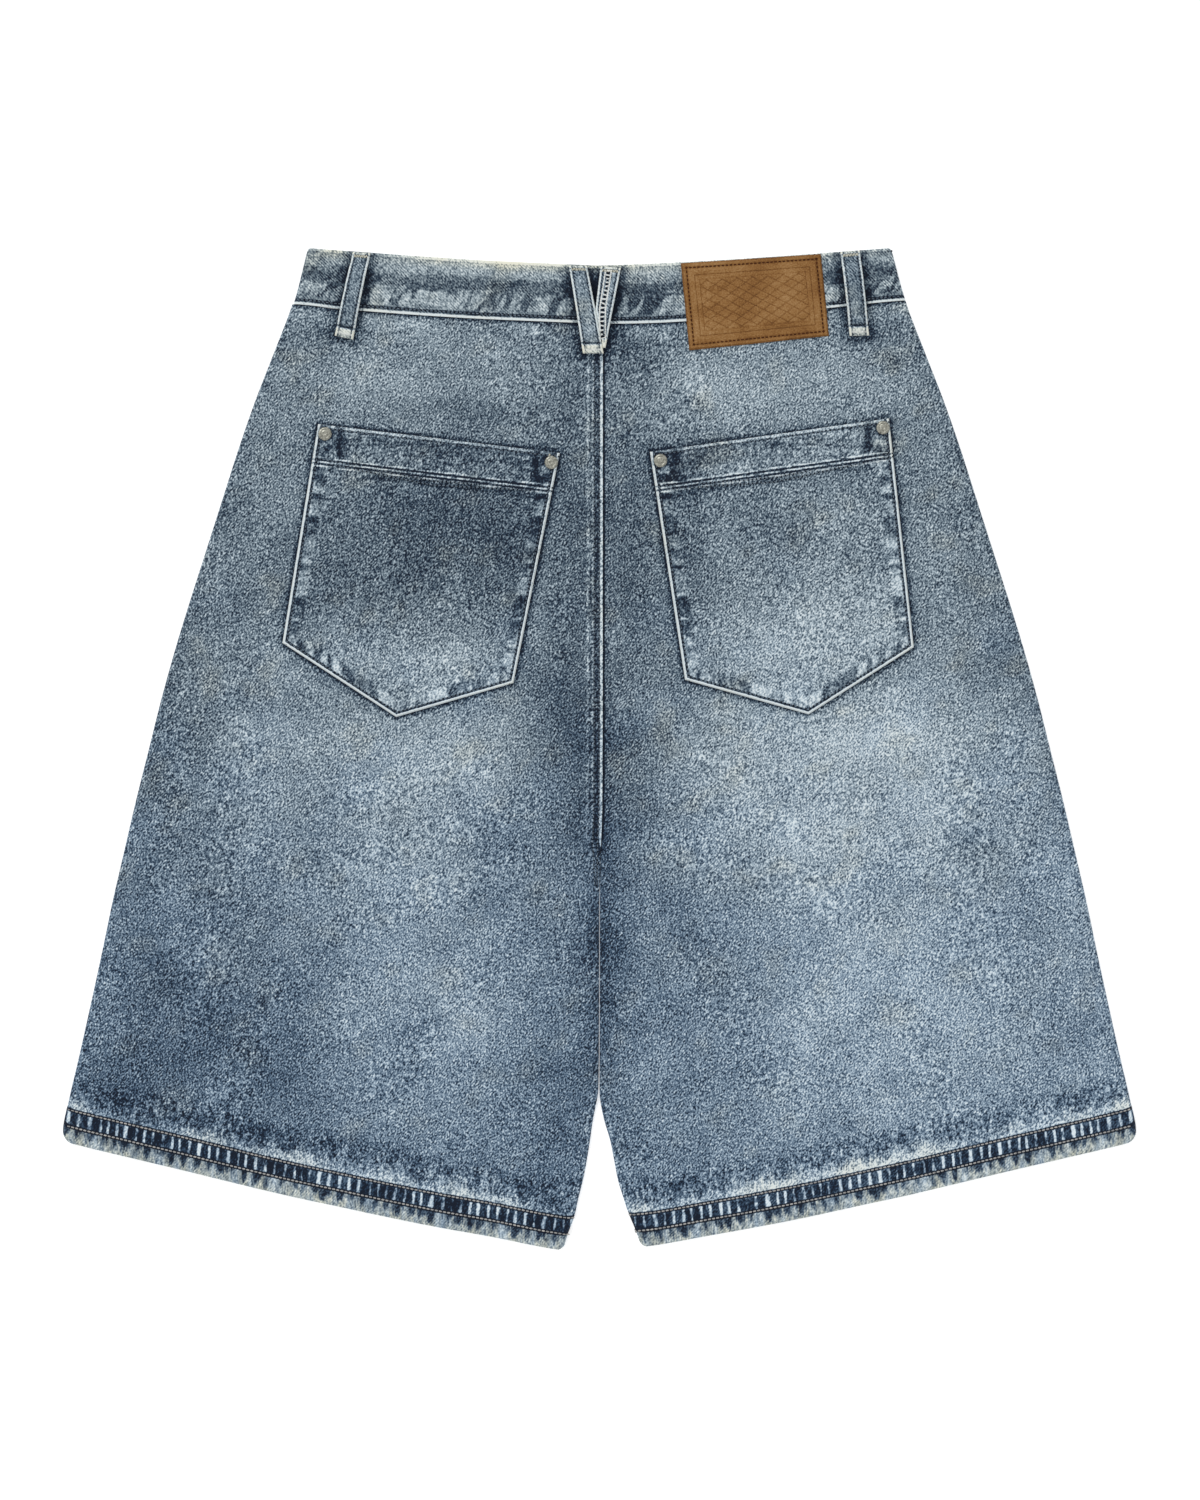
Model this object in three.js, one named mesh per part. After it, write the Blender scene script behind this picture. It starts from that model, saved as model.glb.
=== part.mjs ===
// Denim shorts laid flat on the floor with the back up.
// Millimetres. +X points to the wearer's right, +Y to the waist and +Z up from the floor.
// The origin is on the floor, in the middle of the garment's outline.
import * as THREE from 'three';

// Cloth and layers
const CLOTH = 1.2;
const HEM_WALL = 2.8;
const BAND_WALL = 2.2;
const GAP = 0.3;
const BODY_HIGH = 4.6;
const HEM_HIGH = 5.9;
const BAND_HIGH = 5.8;
const EDGE_ROLL = 7;
const HEM_DEEP = 25.5;
// The middle of the outline's height, measured from the middle of the sheet that the tables use
const SHEET_MIDDLE_Y = -0.3;

// Half the width of the garment, down its side edge
const SIDE_EDGE = [
  { y: 362, half: 210.4 }, { y: 321.5, half: 221 }, { y: 287, half: 234 }, { y: 251, half: 248 },
  { y: 215, half: 260.5 }, { y: 179, half: 272 }, { y: 143, half: 283.5 }, { y: 107, half: 295 },
  { y: 71, half: 306 }, { y: 35, half: 316 }, { y: -1, half: 325 }, { y: -37, half: 334 },
  { y: -73, half: 342.4 }, { y: -109, half: 350.7 }, { y: -145, half: 358.2 }, { y: -181, half: 366 },
  { y: -217, half: 374 }, { y: -253, half: 382.3 }, { y: -275, half: 386.3 }, { y: -290, half: 386.8 },
];

// The line between the two legs: where it runs on the back and on the front, and half the gap at it
const INNER_EDGE = [
  { y: 335, back: 2.6, front: 0, half_gap: 0.15 }, { y: 120, back: 2.5, front: 0, half_gap: 0.15 },
  { y: -40, back: 2.2, front: 0, half_gap: 0.15 }, { y: -75, back: 1, front: 0, half_gap: 0.15 },
  { y: -105, back: 0.1, front: 0, half_gap: 0.16 }, { y: -150, back: 0, front: 0, half_gap: 0.18 },
  { y: -200, back: -0.1, front: -0.1, half_gap: 0.2 }, { y: -246, back: -0.4, front: -0.4, half_gap: 0.4 },
  { y: -253, back: -0.7, front: -0.7, half_gap: 1.1 }, { y: -267.5, back: -0.7, front: -0.7, half_gap: 4 },
  { y: -282, back: 0.4, front: 0.4, half_gap: 7.2 }, { y: -296, back: 0.7, front: 0.7, half_gap: 9.7 },
  { y: -311, back: 0.7, front: 0.7, half_gap: 12.6 }, { y: -325, back: 1.1, front: 1.1, half_gap: 16.5 },
  { y: -339.5, back: 1.8, front: 1.8, half_gap: 20.2 }, { y: -354, back: 2.1, front: 2.1, half_gap: 24.8 },
  { y: -364, back: 2.2, front: 2.2, half_gap: 27.4 },
];

// The hem's lower edge on each leg
const HEM_EDGE = [
  { from_middle: 24, left: -362, right: -359.8 }, { from_middle: 42.8, left: -358.9, right: -357.6 },
  { from_middle: 78.8, left: -351.6, right: -351.1 }, { from_middle: 114.8, left: -345.2, right: -344.6 },
  { from_middle: 150.8, left: -338, right: -337.5 }, { from_middle: 186.8, left: -330.3, right: -329.6 },
  { from_middle: 222.8, left: -322.6, right: -321.8 }, { from_middle: 258.8, left: -314.1, right: -313.2 },
  { from_middle: 294.8, left: -305.2, right: -304.6 }, { from_middle: 330.8, left: -296.6, right: -296.2 },
  { from_middle: 366.8, left: -288, right: -287.8 }, { from_middle: 388, left: -282.6, right: -282.4 },
];

// The lower edge of the waistband, which dips a little to the right of the middle
const BAND_EDGE = [
  { x: -225, y: 320.6 }, { x: -208, y: 319.2 }, { x: -190, y: 317 }, { x: -165, y: 314.8 },
  { x: -130, y: 312.2 }, { x: -100, y: 310.3 }, { x: -74, y: 308.8 }, { x: -48, y: 307.5 },
  { x: -22, y: 306.4 }, { x: 10, y: 305.6 }, { x: 30, y: 305.9 }, { x: 52, y: 306.9 },
  { x: 90, y: 309.8 }, { x: 130, y: 313.6 }, { x: 167, y: 317.5 }, { x: 200, y: 321.1 }, { x: 225, y: 323.3 },
];

// What the cloth lies over: the waist button under the front, and the lapped end of the waistband inside
const BUTTON = { x: -14, y: 313 };
const BUTTON_LIFT = { flat: 13, reach: 92, high: 3.1 };
const BAND_LAP = { high: 2.5, slope_from: 4, slope_to: 42, down_to_y: 230 };
const LAP_LIFT = { high: 1.6, near: 46, far: 95, top_y: 282, low_y: 190 };

// The largest soft folds of the back, each a low ridge (or a trough) along a line
const FOLDS = [
  { x0: -62, y0: -8, x1: -215, y1: -52, wide: 17, high: 0.9 },
  { x0: -34, y0: -70, x1: -205, y1: -138, wide: 20, high: 0.9 },
  { x0: -44, y0: -42, x1: -214, y1: -96, wide: 15, high: -0.6 },
  { x0: -60, y0: -128, x1: -170, y1: -262, wide: 24, high: 0.7 },
  { x0: -292, y0: 66, x1: -318, y1: -110, wide: 18, high: 0.8 },
  { x0: -262, y0: 20, x1: -284, y1: -190, wide: 20, high: -0.6 },
  { x0: -226, y0: -150, x1: -268, y1: -272, wide: 22, high: 0.8 },
  { x0: 58, y0: -6, x1: 206, y1: -40, wide: 16, high: 0.9 },
  { x0: 30, y0: -64, x1: 214, y1: -120, wide: 21, high: 1 },
  { x0: 46, y0: -36, x1: 226, y1: -80, wide: 15, high: -0.6 },
  { x0: 54, y0: -130, x1: 150, y1: -268, wide: 23, high: 0.8 },
  { x0: 286, y0: 60, x1: 316, y1: -126, wide: 19, high: 0.8 },
  { x0: 256, y0: 10, x1: 282, y1: -176, wide: 20, high: -0.6 },
  { x0: 208, y0: -168, x1: 262, y1: -280, wide: 22, high: 0.7 },
  { x0: -108, y0: 288, x1: -186, y1: 262, wide: 11, high: 0.5 },
  { x0: 112, y0: 282, x1: 196, y1: 268, wide: 11, high: 0.5 },
  { x0: -214, y0: 232, x1: -252, y1: 96, wide: 12, high: 0.6 },
  { x0: 220, y0: 228, x1: 254, y1: 90, wide: 12, high: 0.6 },
  { x0: -22, y0: 192, x1: -30, y1: 20, wide: 12, high: 0.5 },
  { x0: 26, y0: 186, x1: 34, y1: 16, wide: 12, high: 0.5 },
];

const POCKETS = {
  left: {
    top_left: [-202.6, 233.6], top_right: [-28.6, 212.7], low_right: [-62, 47.2], tip: [-146.4, 22.7],
    low_left: [-228.3, 76],
  },
  right: {
    top_left: [36.3, 213.5], top_right: [208.4, 237.7], low_right: [226.3, 72.9], tip: [150.6, 24.6],
    low_left: [61.6, 49.5],
  },
};
const POCKET = { wall: 1.4, turned_in: 8.5, turned_wall: 1, band: 29, band_wall: 1, edge_drop: 0.5 };

const RIVETS = [
  { name: 'rivet_left_outer', x: -197.6, y: 226.5 }, { name: 'rivet_left_inner', x: -34.7, y: 205.9 },
  { name: 'rivet_right_inner', x: 43.9, y: 207.2 }, { name: 'rivet_right_outer', x: 204.1, y: 230.9 },
];
const RIVET_PROFILE = [
  [0, 0], [4.5, 0], [4.9, 0.3], [4.7, 0.75], [4, 1.2], [3.2, 1.45], [2.5, 1.4], [2.1, 1.1], [1.3, 1.1],
  [0.8, 1.4], [0, 1.5],
];
const BUTTON_PROFILE = [
  [0, 0.5], [5.6, 0.5], [6.4, 0], [7.6, 0], [8.5, 0.9], [8.3, 2], [7.2, 2.8], [0, 2.8],
];

// Belt loops: the corners of each strip
const LOOPS = [
  {
    name: 'belt_loop_back_left', wall: 2,
    top_left: [-177.5, 357.4], top_right: [-164.9, 356.6], low_left: [-190.6, 297.4], low_right: [-177.5, 294.4],
  },
  {
    name: 'belt_loop_back_right', wall: 2,
    top_left: [173.4, 357.4], top_right: [187.3, 358.6], low_left: [180.2, 297.1], low_right: [194.1, 297.4],
  },
  {
    name: 'belt_loop_centre_left', wall: 2,
    top_left: [-22, 347.2], top_right: [-9, 347], low_left: [-11.9, 284], low_right: [3, 284],
  },
  {
    name: 'belt_loop_centre_right', wall: 2, behind: 'belt_loop_centre_left',
    top_left: [0.8, 346.6], top_right: [15.4, 345.4], low_left: [-6, 288], low_right: [4.3, 288],
  },
];
const LOOP = { sewn: 8, clear: 4.9, end_fold: 6.5, end_wall: 0.9 };

const PATCH = {
  top_left: [58.5, 349.2], top_right: [159.3, 356], low_right: [165.2, 297.2], low_left: [64.7, 286.7], wall: 1.8,
};

const clamp = (value, low = 0, high = 1) => Math.min(high, Math.max(low, value));
const mix = (a, b, t) => a + (b - a) * t;
const mixPoint = (a, b, t) => [mix(a[0], b[0], t), mix(a[1], b[1], t)];
const smooth = (from, to, value) => {
  const t = clamp((value - from) / (to - from));
  return t * t * (3 - 2 * t);
};

// One column of a table at a place along another column, on a smooth curve through the rows
function along(table, key, column, at) {
  const rows = table[0][key] < table[table.length - 1][key] ? table : [...table].reverse();
  const last = rows.length - 1;
  const place = clamp(at, rows[0][key], rows[last][key]);
  let i = 0;
  while (i < last - 1 && rows[i + 1][key] < place) i += 1;
  const slope = (k) => {
    const a = rows[Math.max(0, k - 1)];
    const b = rows[Math.min(last, k + 1)];
    return (b[column] - a[column]) / (b[key] - a[key]);
  };
  const wide = rows[i + 1][key] - rows[i][key];
  const t = (place - rows[i][key]) / wide;
  const [a, b] = [rows[i][column], rows[i + 1][column]];
  const [da, db] = [slope(i) * wide, slope(i + 1) * wide];
  return a + t * (da + t * (3 * (b - a) - 2 * da - db + t * (2 * (a - b) + da + db)));
}

const halfWidth = (y) => along(SIDE_EDGE, 'y', 'half', y);
const bandTop = (x) => 347.5 + 12.3 * (Math.abs(x) / 200) ** 1.25;
const bandLow = (x) => along(BAND_EDGE, 'x', 'y', x);
const frontBandLow = (x) => 306.3 + 14.8 * (Math.abs(x) / 215) ** 1.25 + 0.006 * x;
const frontDrop = (x) => 14 * Math.max(0, 1 - (x / 212) ** 2) ** 2;
const hemEdge = (x) => along(HEM_EDGE, 'from_middle', x < 0 ? 'left' : 'right', Math.abs(x));
const innerEdge = (side, leg, y) =>
  along(INNER_EDGE, 'y', side, y) + leg * Math.max(0.15, along(INNER_EDGE, 'y', 'half_gap', y));

// How far the button lifts everything, and the lapped waistband lifts the back
function buttonLift(x, y) {
  const away = Math.hypot(x - BUTTON.x, y - BUTTON.y);
  return BUTTON_LIFT.high * (1 - smooth(BUTTON_LIFT.flat, BUTTON_LIFT.reach, away));
}
const lapLift = (x, y) =>
  LAP_LIFT.high * (1 - smooth(LAP_LIFT.near, LAP_LIFT.far, Math.abs(x))) * smooth(LAP_LIFT.low_y, LAP_LIFT.top_y, y);
const lapRise = (x, y) =>
  BAND_LAP.high * (1 - smooth(BAND_LAP.slope_from, BAND_LAP.slope_to, x)) * smooth(BAND_LAP.down_to_y, 290, y);

function folds(x, y) {
  let sum = 0;
  for (const fold of FOLDS) {
    const [dx, dy] = [fold.x1 - fold.x0, fold.y1 - fold.y0];
    const long = Math.hypot(dx, dy);
    const t = ((x - fold.x0) * dx + (y - fold.y0) * dy) / long / long;
    const off = ((x - fold.x0) * dy - (y - fold.y0) * dx) / long;
    const ends = smooth(-0.18, 0.22, t) * (1 - smooth(0.78, 1.18, t));
    sum += fold.high * ends * Math.exp(-((off / fold.wide) ** 2));
  }
  return sum;
}

const aboveHem = (x, y) => y - hemEdge(x);
const hemWall = (up) => mix(HEM_WALL, CLOTH, smooth(HEM_DEEP, HEM_DEEP + 2.5, up));

// The height of the back's outer face, away from its rolled edges
function backFace(x, y) {
  const up = aboveHem(x, y);
  const flat = mix(HEM_HIGH, BODY_HIGH, smooth(HEM_DEEP - 2, HEM_DEEP + 38, up));
  const soft = folds(x, y) * smooth(HEM_DEEP, HEM_DEEP + 40, up) * (1 - smooth(270, 300, y));
  return flat + soft + buttonLift(x, y) + lapLift(x, y);
}
const bandFace = (x, y) => BAND_HIGH + buttonLift(x, y) + lapLift(x, y);

// The thick felled strip on the left side of the centre back seam, and the fly's folded edge on the front
const feltSeam = (inside, y) => 1.2 * (1 - smooth(9.5, 11, inside)) * smooth(-92, -66, y);

// The back's outer face with the felled strip, as what lies on it meets it
function backTop(x, y) {
  const seam = innerEdge('back', -1, y);
  const strip = smooth(seam - 15, seam - 10.8, x) * (1 - smooth(seam + 0.4, seam + 4.6, x));
  return backFace(x, y) + 1.25 * strip * smooth(-92, -66, y);
}

// A closed mesh from rings of the same number of points, joined one to the next and capped at both ends
function loft(rings, capped) {
  const count = rings[0].length;
  const positions = rings.flat(2);
  const index = [];
  const at = (i, j) => i * count + (j % count);
  for (let i = 0; i < rings.length - 1; i += 1) {
    for (let j = 0; j < count; j += 1) {
      index.push(at(i, j), at(i + 1, j), at(i + 1, j + 1), at(i, j), at(i + 1, j + 1), at(i, j + 1));
    }
  }
  const end = rings.length - 1;
  for (const [ring, flip] of [[0, false], [end, true]]) {
    const face = (a, b, c) => {
      const corners = flip ? [a, c, b] : [a, b, c];
      index.push(...corners.map((corner) => at(ring, corner)));
    };
    if (capped === 'strip') {
      let [low, high] = [0, count - 1];
      while (high - low > 1) {
        face(low, low + 1, high);
        if (high - low > 2) face(low + 1, high - 1, high);
        low += 1;
        high -= 1;
      }
    } else {
      for (let j = 1; j < count - 1; j += 1) face(0, j, j + 1);
    }
  }
  const geometry = new THREE.BufferGeometry();
  geometry.setAttribute('position', new THREE.Float32BufferAttribute(positions, 3));
  geometry.setIndex(index);
  return geometry;
}

// Turns every face of a closed mesh outwards, and moves it from the sheet's middle to the outline's middle
function settle(geometry) {
  const place = geometry.getAttribute('position');
  const index = geometry.getIndex().array;
  let volume = 0;
  const [a, b, c] = [new THREE.Vector3(), new THREE.Vector3(), new THREE.Vector3()];
  for (let i = 0; i < index.length; i += 3) {
    a.fromBufferAttribute(place, index[i]);
    b.fromBufferAttribute(place, index[i + 1]);
    c.fromBufferAttribute(place, index[i + 2]);
    volume += a.dot(b.cross(c));
  }
  if (volume < 0) {
    for (let i = 0; i < index.length; i += 3) [index[i + 1], index[i + 2]] = [index[i + 2], index[i + 1]];
  }
  geometry.translate(0, -SHEET_MIDDLE_Y, 0);
  geometry.computeVertexNormals();
  return geometry;
}

// Distances from an edge that take its roll in even turns, then the open middle, then the other edge's roll
function columns(wide, middle) {
  const turns = [0, 0.2, 0.4, 0.6, 0.8, 1].map((t) => EDGE_ROLL * (1 - Math.cos((t * Math.PI) / 2)));
  const inside = [];
  for (let i = 1; i < middle; i += 1) inside.push(mix(EDGE_ROLL, wide - EDGE_ROLL, i / middle));
  return [...turns, ...inside, ...turns.map((s) => wide - s).reverse()];
}

// How far a rolled edge has dropped at a distance from it: 1 at the edge and 0 past the roll
const rollDrop = (s) => 1 - Math.sqrt(Math.max(0, 1 - (1 - clamp(s / EDGE_ROLL)) ** 2));

// One leg's panel of the back or the front, as a wall: leg is -1 on the left and 1 on the right
function panel(side, leg, rows, middle) {
  const isBack = side === 'back';
  const top = (x) => (isBack ? bandLow(x) : frontBandLow(x) - frontDrop(x)) - GAP;
  const rings = [];
  const edgeTop = { inner: innerEdge(side, leg, top(0)), outer: leg * halfWidth(top(221)) };
  const edgeLow = { inner: innerEdge(side, leg, -362), outer: leg * halfWidth(-284) };
  const atEdge = { innerTop: top(edgeTop.inner), outerTop: top(edgeTop.outer) };
  const lowEdge = { inner: hemEdge(edgeLow.inner), outer: hemEdge(edgeLow.outer) };
  const columnCount = columns(300, middle).length;
  for (let i = 0; i < columnCount; i += 1) {
    const [outer, inner] = [[], []];
    for (const row of rows) {
      const long = mix(atEdge.innerTop - lowEdge.inner, atEdge.outerTop - lowEdge.outer, i / (columnCount - 1));
      const v = row.fromHem === undefined ? row.down : 1 - row.fromHem / long;
      const [yInner, yOuter] = [mix(atEdge.innerTop, lowEdge.inner, v), mix(atEdge.outerTop, lowEdge.outer, v)];
      const [xInner, xOuter] = [innerEdge(side, leg, yInner), leg * halfWidth(yOuter)];
      const wide = Math.abs(xOuter - xInner);
      const s = columns(wide, middle)[i];
      const u = s / wide;
      const x = xInner + leg * s;
      const topBow = top(mix(edgeTop.inner, edgeTop.outer, u)) - mix(atEdge.innerTop, atEdge.outerTop, u);
      const lowBow = hemEdge(mix(edgeLow.inner, edgeLow.outer, u)) - mix(lowEdge.inner, lowEdge.outer, u);
      let y = mix(yInner, yOuter, u) + mix(topBow, lowBow, v);
      const corner = Math.min(s, wide - s);
      const up = aboveHem(x, y);
      if (corner < 6 && up < 30) y += (6 - Math.sqrt(36 - (6 - corner) ** 2)) * (1 - clamp(up / 30));
      const rolled = smooth(-60, -112, y);
      const wall = hemWall(Math.max(0, up));
      const nearSide = clamp(1 - (wide - s) / EDGE_ROLL);
      const nearInner = clamp(1 - s / EDGE_ROLL) * rolled;
      const drop = Math.max(rollDrop(wide - s), rollDrop(s) * rolled);
      const lift = buttonLift(x, y);
      const raise = isBack ? 0 : lift + (leg > 0 ? lapRise(x, y) : 0);
      const face = isBack ? backFace(x, y) : raise;
      const felt = leg < 0 ? feltSeam(s, y) : 0;
      const middleHigh = mix(HEM_HIGH, BODY_HIGH, smooth(HEM_DEEP - 2, HEM_DEEP + 38, up)) / 2 + lift;
      const seam = isBack ? middleHigh + GAP / 2 : middleHigh - GAP / 2;
      const inward = (nearInner - nearSide) * wall * leg;
      const cut = isBack ? face - wall : face + wall + felt;
      const out = [x, y, mix(isBack ? face + felt : face, seam, drop)];
      const into = [x + inward, y, mix(cut, seam, drop)];
      const fold = row.fromHem === undefined ? 1 : Math.sqrt(1 - (1 - clamp(row.fromHem / (HEM_WALL / 2))) ** 2);
      const mid = out.map((value, k) => (value + into[k]) / 2);
      outer.push(out.map((value, k) => mix(mid[k], value, fold)));
      if (fold > 0) inner.push(into.map((value, k) => mix(mid[k], value, fold)));
    }
    rings.push([...outer, ...inner.reverse()]);
  }
  return settle(loft(rings, 'strip'));
}

const BACK_ROWS = [
  0, 0.004, 0.03, 0.07, 0.115, 0.16, 0.205, 0.25, 0.295, 0.34, 0.385, 0.43, 0.475, 0.515, 0.55, 0.58, 0.605, 0.63,
  0.66, 0.7, 0.745, 0.79, 0.835, 0.875,
].map((down) => ({ down })).concat([62, 44, 33, 28, 25.5, 18, 9, 3, 1.2, 0.4, 0].map((fromHem) => ({ fromHem })));
const FRONT_ROWS = [0, 0.03, 0.08, 0.14, 0.21, 0.3, 0.4, 0.5, 0.56, 0.6, 0.64, 0.7, 0.78, 0.87]
  .map((down) => ({ down }))
  .concat([62, 33, 28, 25.5, 12, 1.2, 0.4, 0].map((fromHem) => ({ fromHem })));

// The waistband: one strip round the flattened waist, from its lapping end to the end under it
function waistband() {
  const turn = [80, 60, 40, 20, 0, -20, -40, -60, -80].map((degrees) => (degrees * Math.PI) / 180);
  const stations = [];
  stations.push({ face: 'front', k: -0.0007 });
  for (let i = 1; i <= 11; i += 1) stations.push({ face: 'front', k: -i / 11 });
  for (const angle of [...turn].reverse()) stations.push({ face: 'side', sign: -1, angle });
  for (let i = 0; i <= 36; i += 1) stations.push({ face: 'back', k: mix(-1, 1, i / 36) });
  for (const angle of turn) stations.push({ face: 'side', sign: 1, angle });
  for (const k of [1, 0.9, 0.8, 0.7, 0.6, 0.5, 0.4, 0.3, 0.2, 0.15, 0.1, 0.06, 0.02, -0.06, -0.12, -0.182]) {
    stations.push({ face: 'front', k, lapped: true });
  }
  const middleHigh = BAND_HIGH / 2;
  const across = [
    { w: 0, out: true }, { w: 0.5, out: true }, { w: 0.965, out: true }, { w: 0.992, out: true, full: 0.6 },
    { w: 1, out: true, full: 0 }, { w: 0.992, out: false, full: 0.6 }, { w: 0.965, out: false },
    { w: 0.5, out: false }, { w: 0, out: false },
  ];
  const rings = stations.map((station) => across.map(({ w, out, full = 1 }) => {
    const sideHigh = mix(bandLow(221), bandTop(211), w);
    const reach = halfWidth(sideHigh);
    const flatReach = reach - EDGE_ROLL;
    let [x, z, isFront] = [0, 0, 0];
    const skin = out ? mix(0.5, 1, full) : mix(0.5, 0, full);
    if (station.face === 'side') {
      const [cos, sin] = [Math.cos(station.angle), Math.sin(station.angle)];
      const radius = mix(EDGE_ROLL - BAND_WALL, EDGE_ROLL, skin);
      x = station.sign * (flatReach + radius * cos);
      z = middleHigh + mix(middleHigh - BAND_WALL, middleHigh, skin) * sin;
      isFront = smooth(0.5, -0.5, sin);
    } else {
      x = station.k * flatReach;
      isFront = station.face === 'front' ? 1 : 0;
      z = isFront ? mix(BAND_WALL, 0, skin) : mix(BAND_HIGH - BAND_WALL, BAND_HIGH, skin);
    }
    const corner = clamp(reach - Math.abs(x), 0, 3);
    const top = bandTop(x) - (3 - Math.sqrt(9 - (3 - corner) ** 2));
    const low = mix(bandLow(x), frontBandLow(x), isFront);
    const y = mix(low, top, w) - isFront * frontDrop(x);
    const lap = station.lapped ? BAND_LAP.high * (1 - smooth(BAND_LAP.slope_from, BAND_LAP.slope_to, x)) : 0;
    return [x, y, z + lap + buttonLift(x, y) + (isFront ? 0 : lapLift(x, y))];
  }));
  return settle(loft(rings, 'fan'));
}

// A flat piece that lies on what is under it, from its four edges: rim and face rise from a base height
function layer(base, wall, point, across, down) {
  const rings = across.map((u) => {
    const [outer, inner] = [[], []];
    for (const v of down) {
      const { x, y, s, t } = point(u, v);
      const low = base(x, y) + GAP;
      outer.push([x, y, low + wall(s, t)]);
      inner.push([x, y, low]);
    }
    return [...outer, ...inner.reverse()];
  });
  return settle(loft(rings, 'strip'));
}

function pocketPoint(corners, u, v) {
  const top = mixPoint(corners.top_left, corners.top_right, u);
  const low = u < 0.5 ? mixPoint(corners.low_left, corners.tip, u * 2) : mixPoint(corners.tip, corners.low_right, u * 2 - 1);
  const [x, y] = mixPoint(top, low, v);
  const [wide, long] = [170, Math.hypot(top[0] - low[0], top[1] - low[1])];
  return { x, y, s: Math.min(u, 1 - u) * wide, t: [v * long, (1 - v) * long] };
}

function pocketWall(s, [fromTop, fromLow]) {
  const turned = POCKET.turned_wall * (1 - smooth(POCKET.turned_in, POCKET.turned_in + 2, Math.min(s, fromLow)));
  const band = POCKET.band_wall * (1 - smooth(POCKET.band, POCKET.band + 2, fromTop));
  const rim = POCKET.edge_drop * (1 - smooth(0, 1.3, Math.min(s, fromTop, fromLow)));
  return POCKET.wall + Math.max(turned, band) - rim;
}

// The pocket is sewn over the felled seam's side only where it reaches it, so its base is the back's face
function pocket(corners) {
  const edge = [0, 1.3, 5, 8.5, 10.5].map((mm) => mm / 170);
  const across = [...edge, 0.14, 0.24, 0.34, 0.43, 0.5, 0.57, 0.66, 0.76, 0.86, ...edge.map((u) => 1 - u).reverse()];
  const down = [0, 1.3, 14, 29, 31, 46, 66, 88, 108, 126, 142].map((mm) => mm / 168);
  down.push(...[10.5, 8.5, 5, 1.3, 0].map((mm) => 1 - mm / 180));
  return layer(backFace, pocketWall, (u, v) => pocketPoint(corners, u, v), across, down);
}

// What a piece that spans the waist seam lies on: the waistband, then a slope down to the back
function seamFace(x, y, slope) {
  const onBand = smooth(bandLow(x) - slope, bandLow(x) - 0.8, y);
  return Math.max(mix(backFace(x, y), bandFace(x, y), onBand), y < bandLow(x) ? backTop(x, y) : 0);
}

function patch() {
  const point = (u, v) => {
    const [x, y] = mixPoint(mixPoint(PATCH.top_left, PATCH.top_right, u), mixPoint(PATCH.low_left, PATCH.low_right, u), v);
    return { x, y, s: Math.min(u, 1 - u) * 101, t: Math.min(v, 1 - v) * 61 };
  };
  const wall = (s, t) => PATCH.wall - 0.4 * (1 - smooth(0, 1, Math.min(s, t)));
  const across = [0, 0.01, 0.1, 0.2, 0.3, 0.4, 0.5, 0.6, 0.7, 0.8, 0.9, 0.99, 1];
  const down = [0, 0.017, 0.15, 0.3, 0.45, 0.58, 0.64, 0.7, 0.78, 0.86, 0.983, 1];
  return layer((x, y) => seamFace(x, y, 15), wall, point, across, down);
}

// A belt loop: a strip sewn down at both ends, standing clear between them
function beltLoop(loop) {
  const front = LOOPS.find((other) => other.name === loop.behind);
  const long = Math.hypot(loop.top_left[0] - loop.low_left[0], loop.top_left[1] - loop.low_left[1]);
  const places = [0, 1, 5, 8];
  for (let i = 1; i <= 14; i += 1) places.push(mix(8, long - 8, i / 14));
  places.push(long - LOOP.end_fold, long - LOOP.end_fold + 0.8, long - 1, long);
  const rings = places.map((place) => {
    const v = place / long;
    const left = mixPoint(loop.top_left, loop.low_left, v);
    const right = mixPoint(loop.top_right, loop.low_right, v);
    if (front) {
      const t = (left[1] - front.top_right[1]) / (front.low_right[1] - front.top_right[1]);
      left[0] = Math.max(left[0], mix(front.top_right[0], front.low_right[0], t) + GAP);
    }
    const free = clamp((place - LOOP.sewn) / (long - 2 * LOOP.sewn));
    const arch = LOOP.clear * (1 - Math.abs(2 * free - 1) ** 2.6) ** (1 / 1.6);
    const thick = loop.wall + LOOP.end_wall * smooth(long - LOOP.end_fold - 0.8, long - LOOP.end_fold, place);
    const endDrop = 0.4 * (1 - smooth(0, 1, Math.min(place, long - place)));
    const low = (x, y) => seamFace(x, y, 7) + GAP + arch;
    const point = (u, height) => {
      const [x, y] = mixPoint(left, right, u);
      const rise = Math.max(...[0, 0.25, 0.5, 0.75, 1].map((part) => low(...mixPoint(left, right, part))));
      return [x, y, rise + height];
    };
    const [high, wide] = [thick - endDrop, Math.hypot(right[0] - left[0], right[1] - left[1])];
    const rim = Math.min(0.3, 0.7 / wide);
    return [
      point(0, 0), point(0, high - 0.5), point(rim, high), point(0.5, high), point(1 - rim, high),
      point(1, high - 0.5), point(1, 0), point(0.5, 0),
    ];
  });
  return settle(loft(rings, 'fan'));
}

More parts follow.
